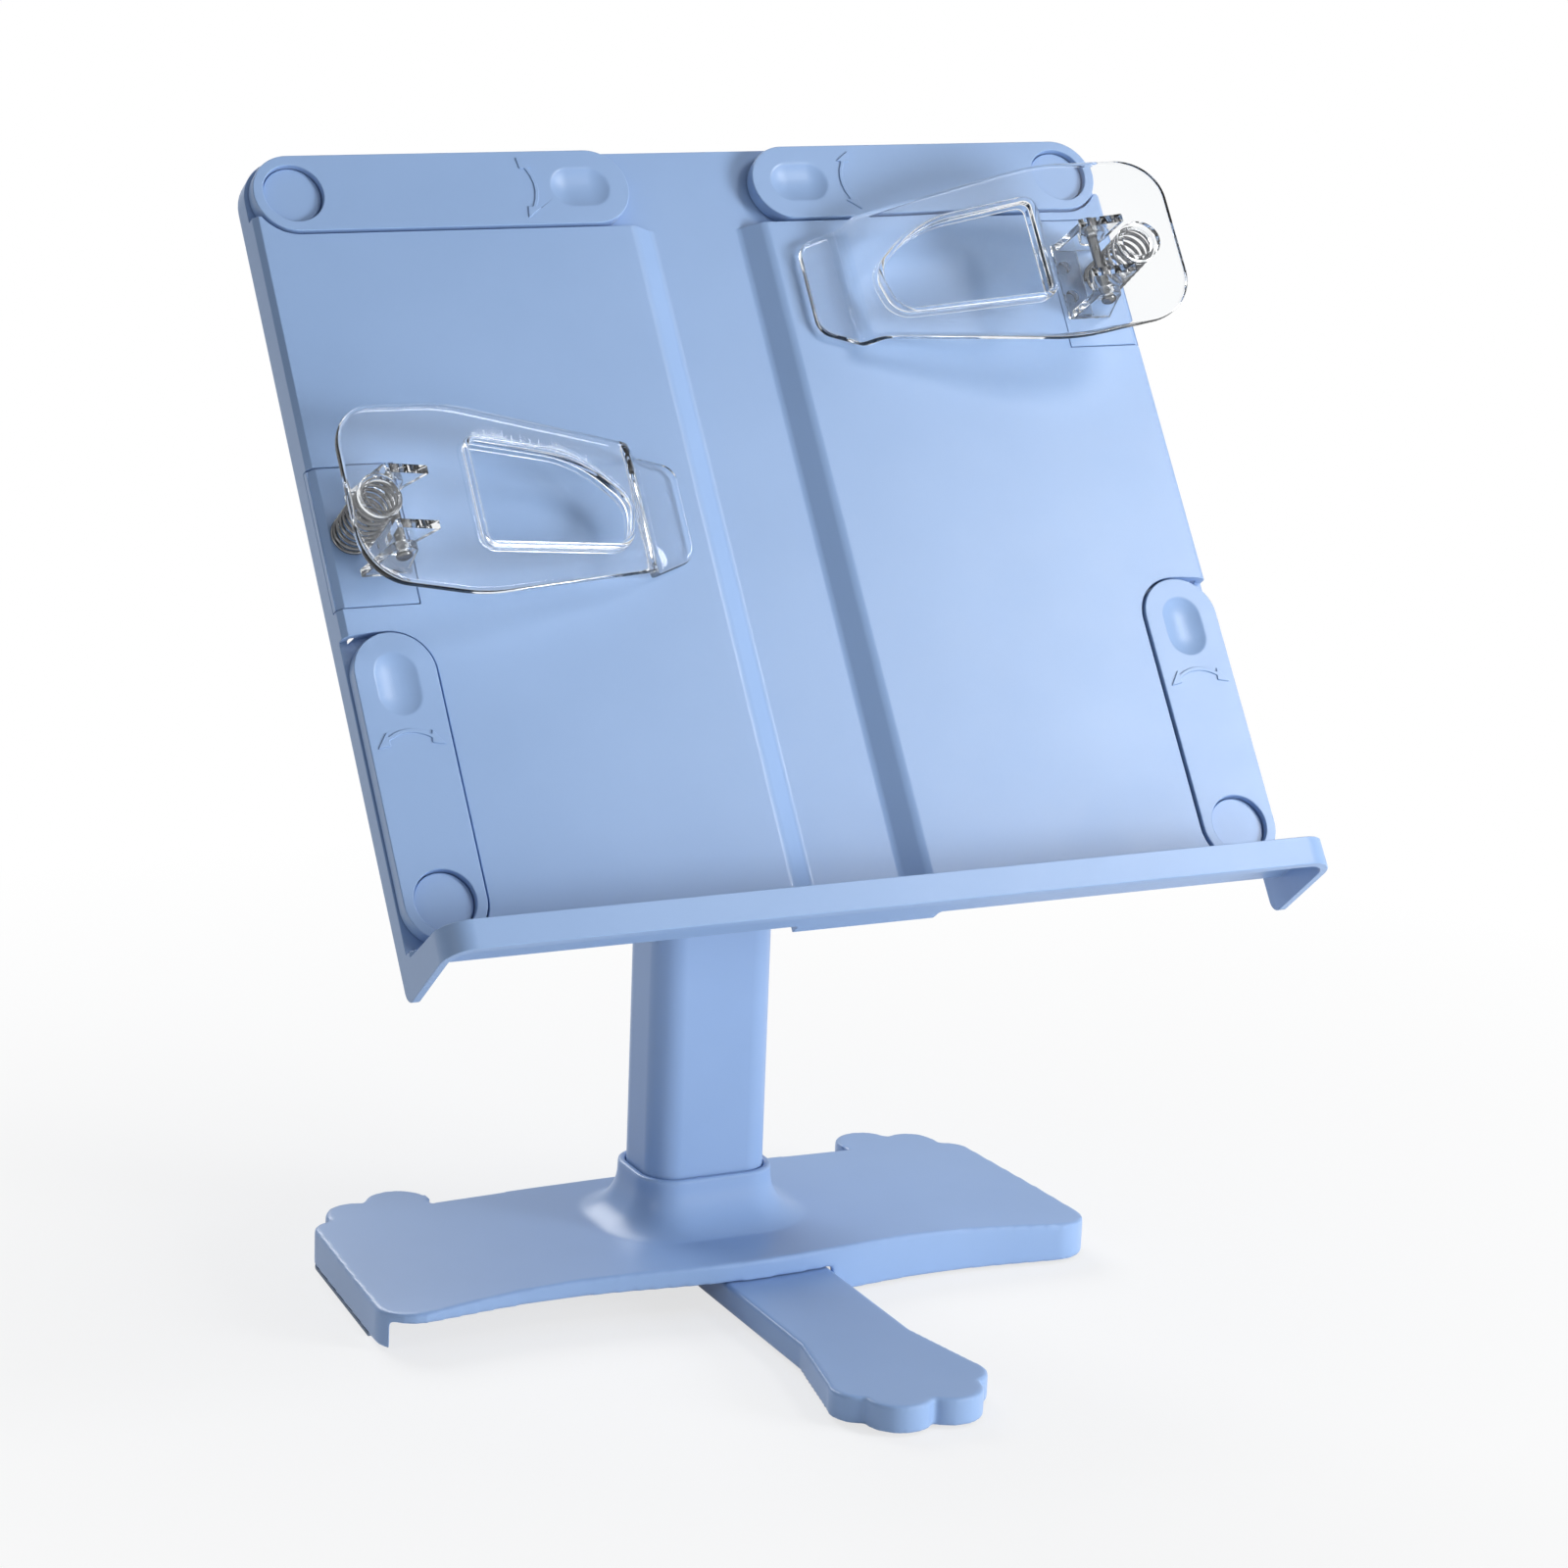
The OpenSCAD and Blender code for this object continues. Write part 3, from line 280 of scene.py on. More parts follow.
def applied(holder, name):
    """Smooth shaded mesh of a holder with its modifiers applied."""
    shape = bpy.data.meshes.new_from_object(holder.evaluated_get(bpy.context.evaluated_depsgraph_get()))
    bpy.data.objects.remove(holder)
    shape.name = name
    shape.polygons.foreach_set("use_smooth", [True] * len(shape.polygons))
    return shape


def weigh_normals(piece):
    """Shades the flat faces flat and lets the rounded edges take up the turn."""
    normals = piece.modifiers.new("normals", "WEIGHTED_NORMAL")
    normals.keep_sharp = True


def skin(bm, rings):
    """Faces between each ring of points and the next."""
    for a, b in zip(rings, rings[1:]):
        for i in range(len(a)):
            j = (i + 1) % len(a)
            bm.faces.new((a[i], a[j], b[j], b[i]))


# Swing arrows on the arms

ARMS = ("arm_top_left", "arm_top_right", "arm_side_left", "arm_side_right")
# A point b to the side of the arrow's middle falls back by b squared over the bow, less the lift
ARROW_BOW = 26
ARROW_LIFT = 0.8
ARROW_HEIGHT = 0.5
ARROW_MARGIN = 0.1


def bend_arrow(bm, node):
    """Curves the raised swing arrow on an arm about the arm's stud."""
    stud = to_board(joint_place(node.removeprefix("arm_") + "_arm_swing"))
    places = {v: to_board(v.co) for v in bm.verts}
    top = max(p.z for p in places.values())
    ridge = [p for p in places.values() if p.z > top - ARROW_MARGIN]
    centre = sum(ridge, Vector()) / len(ridge)
    way = Vector((centre.x - stud.x, centre.y - stud.y, 0)).normalized()
    along = Vector((round(way.x), round(way.y), 0))
    across = Vector((-along.y, along.x, 0))
    start = min((p - stud).dot(along) for p in ridge) - ARROW_MARGIN
    end = max((p - stud).dot(along) for p in ridge) + ARROW_MARGIN
    reach = max(abs((p - stud).dot(across)) for p in ridge) + ARROW_MARGIN
    for v, p in places.items():
        a, b = (p - stud).dot(along), (p - stud).dot(across)
        if p.z > top - ARROW_HEIGHT and start < a < end and abs(b) < reach:
            p = p - along * (b * b / ARROW_BOW - ARROW_LIFT)
            v.co = board_point(p.x, p.y, p.z)


# Copies of CAD nodes with each edge rounded to its own width

# Points and edges that a clean mesh doesn't need, in metres, and the bend across a flat face
SEAM_GAP = 2e-6
LEAST_EDGE = 1e-6
FLAT_BEND = math.radians(0.6)
# Bend from which an edge is rounded, and the strips in a rounding
EDGE_BEND = math.radians(28)
EDGE_STRIPS = 3
# Bend that ends a straight side of a face, and the edges looked at along it
SIDE_BEND = math.radians(25)
SIDE_EDGES = 60
# Share of a side's length that a rounding may take
ROOM_SHARE = 0.4
# Bend up to which edges that meet share one width
LINE_BEND = math.radians(40)
# Bend that stays sharp in the shading
SHARP_BEND = math.radians(40)


def clean_copy(node):
    """The node's mesh with its seams merged and its flat faces joined."""
    bm = bmesh.new()
    bm.from_mesh(nodes[node].data)
    bmesh.ops.remove_doubles(bm, verts=bm.verts, dist=SEAM_GAP)
    bmesh.ops.dissolve_degenerate(bm, dist=LEAST_EDGE, edges=bm.edges)
    bmesh.ops.dissolve_limit(bm, angle_limit=FLAT_BEND, verts=bm.verts, edges=bm.edges)
    bmesh.ops.recalc_face_normals(bm, faces=bm.faces)
    return bm


def straight_run(loop, ahead):
    """Length of the side of a face that starts at a loop, as far as it keeps its direction."""
    way = None
    run = 0
    for _ in range(SIDE_EDGES):
        a, b = (loop.vert, loop.link_loop_next.vert) if ahead else (loop.link_loop_next.vert, loop.vert)
        step = b.co - a.co
        if way is not None and step.length > 0 and step.angle(way) > SIDE_BEND:
            break
        if step.length > 0:
            way = step
        run += loop.edge.calc_length()
        loop = loop.link_loop_next if ahead else loop.link_loop_prev
    return run


def room(edge):
    """Widest rounding that the faces beside an edge have room for, in metres."""
    least = 1.0
    for loop in edge.link_loops:
        way = loop.link_loop_next.vert.co - loop.vert.co
        for neighbour, ahead in ((loop.link_loop_next, True), (loop.link_loop_prev, False)):
            turn = neighbour.link_loop_next.vert.co - neighbour.vert.co
            if turn.length > 0 and way.length > 0 and turn.angle(way) > SIDE_BEND:
                least = min(least, ROOM_SHARE * straight_run(neighbour, ahead))
    return least


def even_widths(wide):
    """Edges that run on into each other get the least width among them."""
    group = {e: e for e in wide}

    def root(e):
        while group[e] is not e:
            e = group[e]
        return e

    for e in wide:
        for v in e.verts:
            for other in v.link_edges:
                if other is e or other not in wide:
                    continue
                bend = (e.other_vert(v).co - v.co).angle(v.co - other.other_vert(v).co)
                if bend < LINE_BEND:
                    group[root(e)] = root(other)
    least = {}
    for e, w in wide.items():
        r = root(e)
        least[r] = min(w, least.get(r, w))
    return {e: least[root(e)] for e in wide}


def moulded(node, width_at):
    """Puts a copy with rounded edges in a CAD node's place. Widths go by place and are in millimetres."""
    bm = clean_copy(node)
    if node in ARMS:
        bend_arrow(bm, node)
    weight = bm.edges.layers.float.new("bevel_weight_edge")
    wide = {}
    for e in bm.edges:
        if len(e.link_faces) == 2 and e.calc_face_angle(0) > EDGE_BEND:
            middle = (e.verts[0].co + e.verts[1].co) / 2
            wide[e] = min(width_at(middle), room(e) / MM)
    wide = even_widths(wide)
    most = max(wide.values())
    for e, w in wide.items():
        e[weight] = w / most
    mesh = bpy.data.meshes.new(node + "_form")
    bm.to_mesh(mesh)
    bm.free()
    holder = new_holder(node + "_holder", mesh)
    bevel = holder.modifiers.new("edges", "BEVEL")
    bevel.limit_method = "WEIGHT"
    bevel.width = most * MM
    bevel.segments = EDGE_STRIPS
    bevel.use_clamp_overlap = False
    bevel.miter_outer = "MITER_ARC"
    shape = applied(holder, node + "_moulded")
    shape.set_sharp_from_angle(angle=SHARP_BEND)
    piece = place_piece(node + "_moulded", shape, nodes[node]["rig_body"], SLOT[node])
    weigh_normals(piece)
    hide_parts(node)


# Edge width of each node, in millimetres
ROUND = {
    "outer_column": 0.4, "column_cap": 0.6, "inner_column": 0.4, "arm_studs": 0.35,
    **dict.fromkeys(ARMS, 0.35),
    "clip_tile_left": 0.3, "clip_tile_right": 0.3, "clip_bracket_left": 0.4, "clip_bracket_right": 0.4,
    "clip_pin_left": 0.15, "clip_pin_right": 0.15,
    "leg_foot_pad": 0.2, "hinge_bolt": 0.25, "leg_pivot_pin": 0.3,
}


# Board: edge widths and the places where they hold

BOARD_R = 0.8
# Seat of the hinge bracket behind the board
BRACKET_HALF = 24
BRACKET_U = (150, 205)
BRACKET_N = -6
BRACKET_R = 0.05
# Back and flanks
BACK_N = -4.9
FLANK_X = 136.5
BACK_R = 0.25
# Seats of the clips' tiles and pockets of the upper and lower arms
TILE_X = 112
TILE_HALF = 23.5
TOP_POCKET_X = 118
TOP_POCKET_U = 229
LOW_POCKET_X = 110
LOW_POCKET_U = 15
POCKET_R = 0.2
# Middle channel: upper and lower end of its slopes, and how near to them an edge lies
LIP_X = 21.5
LIP_N = -0.4
LIP_R = 1.6
FOOT_X = 14.5
FOOT_R = 1.2
NEAR = 0.4
# Recesses below the face, and the ledge above it
RECESS_N = -3.9
RECESS_R = 0.3
LEDGE_N = 0.5
LEDGE_U = 10
LEDGE_R = 1.0


def board_width(middle):
    """Edge width of the board by place: seats and pockets stay crisp, the channel and ledge are soft."""
    x, u, n = to_board(middle)
    side = -1 if x < 0 else 1
    x = abs(x)
    if n < BRACKET_N and x < BRACKET_HALF and BRACKET_U[0] < u < BRACKET_U[1]:
        return BRACKET_R
    if n < BACK_N or x > FLANK_X:
        return BACK_R
    in_tile = x > TILE_X and abs(u - CLIP_U[side]) < TILE_HALF
    in_top_pocket = x > TOP_POCKET_X and u > TOP_POCKET_U
    in_low_pocket = x > LOW_POCKET_X and u < LOW_POCKET_U and n < LEDGE_N
    if in_tile or in_top_pocket or in_low_pocket:
        return POCKET_R
    if abs(x - LIP_X) < NEAR and n > LIP_N:
        return LIP_R
    if abs(x - FOOT_X) < NEAR:
        return FOOT_R
    if n < RECESS_N:
        return RECESS_R
    if n > LEDGE_N or u < LEDGE_U:
        return LEDGE_R
    return BOARD_R


# Copies of CAD nodes with every edge softened

# Share of the way to its neighbours that a point goes in a pass, and share of the triangles kept
SMOOTH_SHARE = 0.5
KEPT_SHARE = 0.35
# Node, grid in millimetres and smoothing passes
SOFT = (
    ("base_shell", 0.7, 9),
    ("front_leg", 0.6, 9),
    ("hinge_bracket", 0.45, 6),
    ("lock_knob", 0.3, 6),
    ("tilt_knob", 0.3, 6),
)


def softened(node, grid, passes):
    """Puts a copy on an even fine mesh, smoothed as moulded plastic is, in a CAD node's place."""
    holder = new_holder(node + "_holder", nodes[node].data.copy())
    remesh = holder.modifiers.new("even", "REMESH")
    remesh.mode = "VOXEL"
    remesh.voxel_size = grid * MM
    smooth = holder.modifiers.new("soft", "SMOOTH")
    smooth.factor = SMOOTH_SHARE
    smooth.iterations = passes
    lighter = holder.modifiers.new("lighter", "DECIMATE")
    lighter.ratio = KEPT_SHARE
    piece = place_piece(node + "_soft", applied(holder, node + "_soft"), nodes[node]["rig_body"], SLOT[node])
    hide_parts(node)


# Clip levers: a clear leaf with rounded edges, a rimmed window and a bend down to its tip

LEVER_T = 3.2
LEVER_OUT = 2.5
LEVER_RISE = 29
TIP_S = 111
TIP_N = 0.7
STEP_S = 95
STEP_H = 3.4
LEVER_SLOPE = (LEVER_RISE - TIP_N - LEVER_T - STEP_H) / (STEP_S + LEVER_OUT)
# Corners of the leaf's upper half and of its whole window: s, v and radius
LEAF_HALF = [(-LEVER_OUT, 26, 15), (35, 29.5, 60), (STEP_S - 2, 20.5, 30), (TIP_S, 14.5, 6)]
LEAF = LEAF_HALF + [(s, -v, r) for s, v, r in reversed(LEAF_HALF)]
LEAF_SPACING = 0.75
WINDOW = [(40, -13.5, 2.2), (STEP_S - 8, -12.5, 7), (STEP_S - 4.5, 1, 8), (STEP_S - 19, 14, 34),
          (40, 17.5, 2.2)]
WINDOW_SPACING = 0.6
CORNER_STEPS = 40
# Rounding of the leaf's edge
LEAF_R = 1.15
LEAF_R_STEPS = 5
# Section of the window's rim: distance out from the window and height over the leaf's top or underside
RIM_TOP = [(2.0, 0), (1.72, 0.1), (1.52, 0.33), (1.22, 0.54), (0.8, 0.6), (0.36, 0.5), (0.09, 0.24),
           (0, -0.12)]
RIM_LOW = [(0, -1.7), (0.1, -2.08), (0.38, -2.33), (0.75, -2.4), (1.12, -2.33), (1.4, -2.08), (1.5, -1.7),
           (1.5, -0.5), (1.64, -0.16), (2.0, 0)]
# Start and end of the bend in the top and in the underside, and the rows and spacing of points over it
BEND_TOP = (93.5, 99.0)
BEND_LOW = (91.9, 97.4)
BEND_STEPS = 5
BEND_SPACING = 0.8
BEND_REACH = 30
# Least distance of those points from the leaf's edge and from the rim
EDGE_CLEAR = 0.5
RIM_CLEAR = 0.3
# Joining tolerance of the leaf's triangles, and the area of a patch that is more than a sliver
JOIN_GAP = 1e-5
LEAST_PATCH = 1
# Ears on the clip's pin, from their round end to their roots in the leaf
PIN_S = 16.5
PIN_N = 14
EAR_R = 4.2
EAR_STEPS = 20
EAR_FRONT = 9
EAR_BACK = 5
EAR_SINK = 0.4
EAR_IN_V = 7.1
EAR_OUT_V = 9.8
EAR_SOFT = 0.35
EAR_KNEE = 0.3 * EAR_SOFT
# Ring that the spring presses on
SPRING_S = 8.5
SEAT_N = 24.85
SEAT_IN_R = 4.8
SEAT_OUT_R = 6.6
SEAT_SINK = 0.6
SEAT_BEVEL = 0.3
SEAT_BEVEL_N = 0.25
SEAT_SIDES = 48
LEVER_SHARP = math.radians(38)


def under(s):
    """Underside of a lever's sloping leaf."""
    return LEVER_RISE - LEVER_SLOPE * (s + LEVER_OUT)


def ease(s, a, b):
    """Smooth step from 0 at a to 1 at b."""
    t = min(max((s - a) / (b - a), 0), 1)
    return t * t * (3 - 2 * t)


def lever_top(s):
    k = ease(s, *BEND_TOP)
    return (under(s) + LEVER_T) * (1 - k) + (TIP_N + LEVER_T) * k


def lever_low(s):
    k = ease(s, *BEND_LOW)
    return under(s) * (1 - k) + TIP_N * k


def round_loop(corners, spacing):
    """Closed outline with its corners rounded, as evenly spaced points."""
    dense = []
    count = len(corners)
    for i, (x, y, r) in enumerate(corners):
        p = Vector((x, y))
        a = (Vector(corners[i - 1][:2]) - p).normalized()
        b = (Vector(corners[(i + 1) % count][:2]) - p).normalized()
        half = math.acos(max(-1, min(1, a.dot(b)))) / 2
        centre = p + (a + b).normalized() * (r / math.sin(half))
        start = p + a * (r / math.tan(half)) - centre
        end = p + b * (r / math.tan(half)) - centre
        sweep = start.angle_signed(end)
        for k in range(CORNER_STEPS + 1):
            t = -sweep * k / CORNER_STEPS
            dense.append(centre + Vector((start.x * math.cos(t) - start.y * math.sin(t),
                                          start.x * math.sin(t) + start.y * math.cos(t))))
    lengths = [0]
    for i, q in enumerate(dense):
        lengths.append(lengths[-1] + (dense[(i + 1) % len(dense)] - q).length)
    steps = round(lengths[-1] / spacing)
    points = []
    k = 0
    for i in range(steps):
        want = lengths[-1] * i / steps
        while lengths[k + 1] < want:
            k += 1
        span = lengths[k + 1] - lengths[k]
        t = (want - lengths[k]) / span if span > 0 else 0
        points.append(dense[k].lerp(dense[(k + 1) % len(dense)], t))
    return points


def outwards(loop):
    """Unit vectors square to a closed outline, pointing out of it."""
    area = sum(p.x * q.y - q.x * p.y for p, q in zip(loop, loop[1:] + loop[:1]))
    sign = 1 if area > 0 else -1
    count = len(loop)
    out = []
    for i in range(count):
        way = (loop[(i + 1) % count] - loop[i - 1]).normalized()
        out.append(Vector((way.y, -way.x)) * sign)
    return out


def inside(p, loop):
    """Whether a point lies inside a closed outline."""
    hit = False
    for a, b in zip(loop, loop[1:] + loop[:1]):
        if (a.y > p.y) != (b.y > p.y) and p.x < a.x + (b.x - a.x) * (p.y - a.y) / (b.y - a.y):
            hit = not hit
    return hit


def clear_of(p, loop, gap):
    """Whether a point keeps more than a gap from the points of an outline."""
    return min((p - q).length for q in loop) > gap


def ring(bm, loop, shift, height):
    """Points of an outline moved outwards by a shift, at a height that follows s."""
    points = [p + q * shift for p, q in zip(loop, outwards(loop))]
    return [bm.verts.new((p.x, p.y, height(p.x))) for p in points]


def leaf_edge(bm):
    """Rings over the leaf's rounded edge, from its top to its underside."""
    outline = round_loop(LEAF, LEAF_SPACING)
    quarter = [math.pi / 2 * k / LEAF_R_STEPS for k in range(LEAF_R_STEPS + 1)]
    rings = []
    for a in reversed(quarter):
        rings.append(ring(bm, outline, -LEAF_R * (1 - math.cos(a)),
                          lambda s: lever_top(s) - LEAF_R * (1 - math.sin(a))))
    for a in quarter:
        rings.append(ring(bm, outline, -LEAF_R * (1 - math.cos(a)),
                          lambda s: lever_low(s) + LEAF_R * (1 - math.sin(a))))
    return rings


def window_rim(bm):
    """Rings over the window's rim, from the leaf's top to its underside."""
    outline = round_loop(WINDOW, WINDOW_SPACING)
    rings = [ring(bm, outline, shift, lambda s: under(s) + LEVER_T + rise) for shift, rise in RIM_TOP]
    return rings + [ring(bm, outline, shift, lambda s: under(s) + rise) for shift, rise in RIM_LOW]


def patches(faces, walls):
    """Groups of triangles that join without crossing a wall edge."""
    beside = {}
    for i, f in enumerate(faces):
        for a, b in zip(f, f[1:] + f[:1]):
            beside.setdefault(frozenset((a, b)), []).append(i)
    left = set(range(len(faces)))
    while left:
        stack = [left.pop()]
        group = []
        while stack:
            i = stack.pop()
            group.append(i)
            f = faces[i]
            for a, b in zip(f, f[1:] + f[:1]):
                edge = frozenset((a, b))
                for j in beside[edge] if edge not in walls else ():
                    if j in left:
                        left.remove(j)
                        stack.append(j)
        yield sorted(group)


def triangle_area(points, face):
    a, b, c = (points[i] for i in face)
    return abs((b - a).cross(c - a)) / 2


def fill_between(bm, outer, inner, height, bend):
    """Triangles from the leaf's edge to its window's rim, with rows of points over the bend."""
    outer_loop = [Vector(v.co[:2]) for v in outer]
    inner_loop = [Vector(v.co[:2]) for v in inner]

    def on_leaf(p):
        return inside(p, outer_loop) and not inside(p, inner_loop)

    rows = [bend[0] + (bend[1] - bend[0]) * i / BEND_STEPS for i in range(BEND_STEPS + 1)]
    spare = [Vector((s, v * BEND_SPACING)) for s in rows for v in range(-BEND_REACH, BEND_REACH + 1)]
    over_bend = [p for p in spare if on_leaf(p) and clear_of(p, outer_loop, EDGE_CLEAR)
                 and clear_of(p, inner_loop, RIM_CLEAR)]
    points = outer_loop + inner_loop + over_bend
    a, b = len(outer_loop), len(inner_loop)
    walls = [(i, (i + 1) % a) for i in range(a)] + [(a + i, a + (i + 1) % b) for i in range(b)]
    made = delaunay_2d_cdt(points, walls, [], 0, JOIN_GAP)
    made_points, made_faces, made_from = made[0], made[2], made[3]
    assert len(made_points) == len(points)
    faces = [[made_from[i][0] for i in face] for face in made_faces]
    verts = outer + inner + [bm.verts.new((p.x, p.y, height(p.x))) for p in over_bend]
    for patch in patches(faces, {frozenset(pair) for pair in walls}):
        areas = {i: triangle_area(points, faces[i]) for i in patch}
        largest = faces[max(areas, key=areas.get)]
        centre = sum((points[i] for i in largest), Vector((0, 0))) / 3
        if sum(areas.values()) > LEAST_PATCH and on_leaf(centre):
            for i in patch:
                bm.faces.new([verts[k] for k in faces[i]])


def leaf(bm):
    """The leaf, its window's rim and its tip as one closed skin."""
    edge = leaf_edge(bm)
    skin(bm, edge)
    rim = window_rim(bm)
    skin(bm, rim)
    fill_between(bm, edge[0], rim[0], lever_top, BEND_TOP)
    fill_between(bm, edge[-1], rim[-1], lever_low, BEND_LOW)


def ear(bm, v0, v1):
    """One ear from v0 to v1, with softened edges at both ends."""
    turn = [math.pi + math.pi * k / EAR_STEPS for k in range(EAR_STEPS + 1)]
    loop = [Vector((PIN_S + EAR_R * math.cos(a), PIN_N + EAR_R * math.sin(a))) for a in turn]
    for s in (PIN_S + EAR_FRONT, PIN_S - EAR_BACK):
        loop.append(Vector((s, under(s) + EAR_SINK)))
    out = outwards(loop)
    rings = []
    for shift, v in ((EAR_SOFT, v0), (EAR_KNEE, v0 + EAR_KNEE), (0, v0 + EAR_SOFT),
                     (0, v1 - EAR_SOFT), (EAR_KNEE, v1 - EAR_KNEE), (EAR_SOFT, v1)):
        rings.append([bm.verts.new((p.x - q.x * shift, v, p.y - q.y * shift)) for p, q in zip(loop, out)])
    skin(bm, rings)
    bm.faces.new(rings[0])
    bm.faces.new(rings[-1])


def spring_seat(bm):
    """Turned ring for the spring, with its root in the leaf."""

    def root(s):
        return under(s) + SEAT_SINK

    profile = (
        (SEAT_IN_R, root),
        (SEAT_IN_R, lambda s: SEAT_N),
        (SEAT_OUT_R - SEAT_BEVEL, lambda s: SEAT_N),
        (SEAT_OUT_R, lambda s: SEAT_N + SEAT_BEVEL_N),
        (SEAT_OUT_R, root),
    )
    turn = [2 * math.pi * k / SEAT_SIDES for k in range(SEAT_SIDES)]
    rings = []
    for r, height in profile:
        places = [(SPRING_S + r * math.cos(a), r * math.sin(a)) for a in turn]
        rings.append([bm.verts.new((s, v, height(s))) for s, v in places])
    skin(bm, rings + rings[:1])


def lever_part(side, build):
    """Holder of one part of a lever, in its place on the board."""
    bm = bmesh.new()
    build(bm)
    for v in bm.verts:
        v.co = clip_point(side, *v.co)
    bmesh.ops.recalc_face_normals(bm, faces=bm.faces)
    mesh = bpy.data.meshes.new("lever_part")
    bm.to_mesh(mesh)
    bm.free()
    return new_holder("lever_part", mesh)


def lever(side):
    word = SIDE_WORD[side]
    whole = lever_part(side, leaf)
    others = [
        lever_part(side, lambda bm: ear(bm, EAR_IN_V, EAR_OUT_V)),
        lever_part(side, lambda bm: ear(bm, -EAR_OUT_V, -EAR_IN_V)),
        lever_part(side, spring_seat),
    ]
    for other in others:
        join = whole.modifiers.new("join", "BOOLEAN")
        join.operation = "UNION"
        join.solver = "EXACT"
        join.object = other
    shape = applied(whole, "lever_" + word)
    for other in others:
        bpy.data.objects.remove(other)
    shape.set_sharp_from_angle(angle=LEVER_SHARP)
    piece = place_piece("lever_" + word, shape, word + "_clip", "clear_plastic")
    weigh_normals(piece)
    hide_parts("clip_lever_" + word)


# Springs: one wire wound in an open helix, with its end turns closed

TURNS = 9
CLOSED_TURNS = 1.0
OPEN_TURNS = TURNS - 2 * CLOSED_TURNS
COIL_R = 5.75
WIRE_R = 0.55
SPRING_LOW = 0.1
SPRING_TOP = 24.75
CLOSED_PITCH = 1.25
OPEN_PITCH = (SPRING_TOP - SPRING_LOW - 2 * WIRE_R - 2 * CLOSED_TURNS * CLOSED_PITCH) / OPEN_TURNS
TURN_STEPS = 40
WIRE_SIDES = 12
SPRING_SHARP = math.radians(60)


def wire_path():
    """Middle of the wire about the spring's axis."""
    path = []
    for i in range(TURNS * TURN_STEPS + 1):
        t = i / TURN_STEPS
        opened = min(max(t - CLOSED_TURNS, 0), OPEN_TURNS)
        climb = opened * OPEN_PITCH + (t - opened) * CLOSED_PITCH
        a = 2 * math.pi * t
        path.append(Vector((COIL_R * math.cos(a), COIL_R * math.sin(a), SPRING_LOW + WIRE_R + climb)))
    return path


def spring(side):
    word = SIDE_WORD[side]
    path = wire_path()
    last = len(path) - 1
    bm = bmesh.new()
    rings = []
    for i, p in enumerate(path):
        way = (path[min(i + 1, last)] - path[max(i - 1, 0)]).normalized()
        out = Vector((p.x, p.y, 0)).normalized()
        across = way.cross(out).normalized()
        section = []
        for k in range(WIRE_SIDES):
            a = 2 * math.pi * k / WIRE_SIDES
            q = p + (across * math.cos(a) + across.cross(way) * math.sin(a)) * WIRE_R
            section.append(bm.verts.new(clip_point(side, SPRING_S + q.x, q.y, q.z)))
        rings.append(section)
    skin(bm, rings)
    bm.faces.new(rings[0])
    bm.faces.new(rings[-1])
    bmesh.ops.recalc_face_normals(bm, faces=bm.faces)
    mesh = bpy.data.meshes.new("clip_coil_" + word)
    bm.to_mesh(mesh)
    bm.free()
    mesh.polygons.foreach_set("use_smooth", [True] * len(mesh.polygons))
    mesh.set_sharp_from_angle(angle=SPRING_SHARP)
    piece = place_piece("clip_coil_" + word, mesh, "board", "steel")
    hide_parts("clip_spring_" + word)
    foot = clip_point(side, SPRING_S, 0, 0)
    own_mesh(piece)


# Floor, light and background

FLOOR_HALF = 6
# Share of the backdrop that mirrored rays see
MIRROR_SHARE = 0.5
# How the floor goes over into the backdrop with the distance from the stand, in metres
FLOOR_FADE = {"From Min": 0.14, "From Max": 0.55, "To Min": 0.72, "To Max": 1.0}
WHITE = (1, 1, 1, 1)
WORLD_COLOUR = (0.93, 0.96, 1.0, 1)
WORLD_LIGHT = 0.2


def background_ray(tree):
    """Share of the backdrop that a ray shows: all from the camera or through clear plastic."""
    path = tree.nodes.new("ShaderNodeLightPath")
    mirrored = tree.nodes.new("ShaderNodeMath")
    mirrored.operation = "MULTIPLY"
    mirrored.inputs[1].default_value = MIRROR_SHARE
    tree.links.new(path.outputs["Is Glossy Ray"], mirrored.inputs[0])
    out = path.outputs["Is Camera Ray"]
    for ray in (mirrored.outputs[0], path.outputs["Is Transmission Ray"]):
        join = tree.nodes.new("ShaderNodeMath")
        join.operation = "MAXIMUM"
        tree.links.new(out, join.inputs[0])
        tree.links.new(ray, join.inputs[1])
        out = join.outputs[0]
    return out


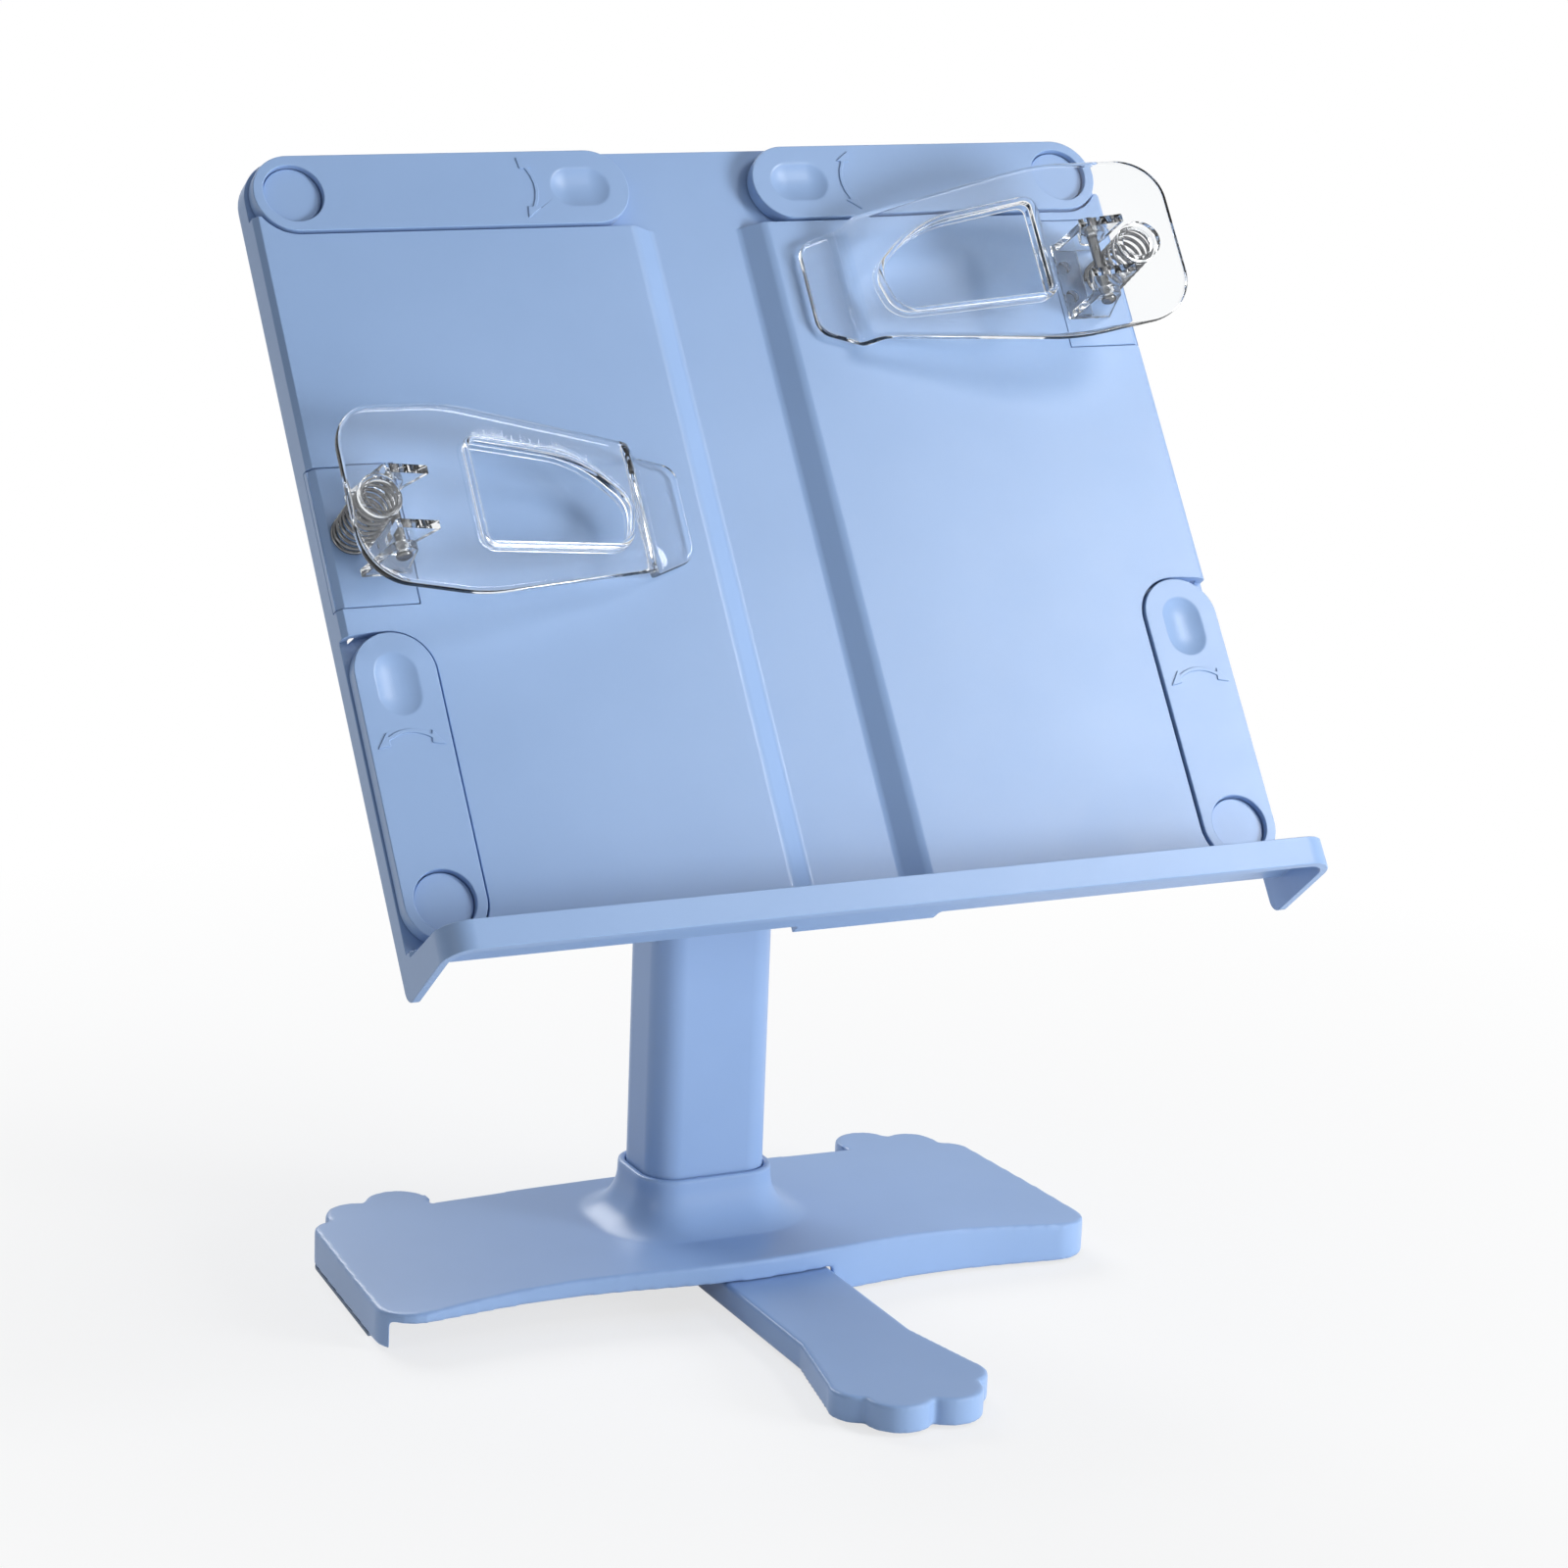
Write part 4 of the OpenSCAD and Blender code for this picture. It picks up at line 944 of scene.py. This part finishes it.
def add_floor():
    bm = bmesh.new()
    bmesh.ops.create_grid(bm, x_segments=1, y_segments=1, size=FLOOR_HALF)
    mesh = bpy.data.meshes.new("floor")
    bm.to_mesh(mesh)
    bm.free()
    floor = bpy.data.objects.new("floor", mesh)
    scene.collection.objects.link(floor)
    m = Finish("floor")
    m.set(Base_Color=(0.84, 0.845, 0.85, 1), Roughness=0.9, Specular_IOR_Level=0.1)
    glow = m.add("ShaderNodeEmission")
    glow.inputs["Color"].default_value = WHITE
    far = m.add("ShaderNodeVectorMath", operation="LENGTH")
    m.link(m.place, far.inputs[0])
    fade = m.add("ShaderNodeMapRange")
    for socket, value in FLOOR_FADE.items():
        fade.inputs[socket].default_value = value
    m.link(far.outputs["Value"], fade.inputs["Value"])
    seen = m.add("ShaderNodeMath", operation="MULTIPLY")
    m.link(background_ray(m.tree), seen.inputs[0])
    m.link(fade.outputs["Result"], seen.inputs[1])
    mix = m.add("ShaderNodeMixShader")
    m.link(seen.outputs[0], mix.inputs["Fac"])
    m.link(m.shader.outputs[0], mix.inputs[1])
    m.link(glow.outputs[0], mix.inputs[2])
    m.link(mix.outputs[0], m.tree.nodes["Material Output"].inputs["Surface"])
    mesh.materials.append(m.material)


def add_world():
    world = bpy.data.worlds.new("studio")
    scene.world = world
    world.use_nodes = True
    tree = world.node_tree
    light = tree.nodes["Background"]
    light.inputs["Color"].default_value = WORLD_COLOUR
    light.inputs["Strength"].default_value = WORLD_LIGHT
    seen = tree.nodes.new("ShaderNodeBackground")
    seen.inputs["Color"].default_value = WHITE
    seen.inputs["Strength"].default_value = 1.0
    mix = tree.nodes.new("ShaderNodeMixShader")
    tree.links.new(background_ray(tree), mix.inputs["Fac"])
    tree.links.new(light.outputs[0], mix.inputs[1])
    tree.links.new(seen.outputs[0], mix.inputs[2])
    tree.links.new(mix.outputs[0], tree.nodes["World Output"].inputs["Surface"])


def add_lamp(name, place, aim, size, power, colour=(1, 1, 1), mirrored=True):
    """Round lamp, with places and size in metres and power in watts."""
    data = bpy.data.lights.new(name, "AREA")
    data.shape = "DISK"
    data.size = size
    data.energy = power
    data.color = colour
    lamp = bpy.data.objects.new(name, data)
    scene.collection.objects.link(lamp)
    lamp.visible_camera = False
    lamp.visible_glossy = mirrored
    way = Vector(aim) - Vector(place)
    lamp.matrix_world = Matrix.Translation(place) @ way.to_track_quat("-Z", "Y").to_matrix().to_4x4()


add_camera()
moulded("board", board_width)
for node, width in ROUND.items():
    moulded(node, lambda middle: width)
for node, grid, passes in SOFT:
    softened(node, grid, passes)
for side in CLIP_U:
    lever(side)
    spring(side)
for node, obj in nodes.items():
    obj.data.materials.clear()
    obj.data.materials.append(MATERIALS[SLOT[node]])
add_floor()
add_world()
add_lamp("key", place=(1.30, -1.17, 0.38), aim=(0, 0, 0.2), size=0.6, power=23, mirrored=False)
add_lamp("sheen", place=(0.96, -0.75, 1.28), aim=(0, 0, 0.25), size=0.48, power=7.2)
add_lamp("fill", place=(-1.4, -0.6, 0.6), aim=(0, 0, 0.2), size=0.6, power=1.6, colour=(0.96, 0.98, 1))
add_lamp("low", place=(0.35, -0.75, 0.1), aim=(0, -0.05, 0.05), size=0.4, power=1.3, mirrored=False)
add_lamp("back", place=(-0.2, 1.5, 1.2), aim=(0, 0, 0.2), size=1.2, power=20)
scene.view_settings.view_transform = "Standard"
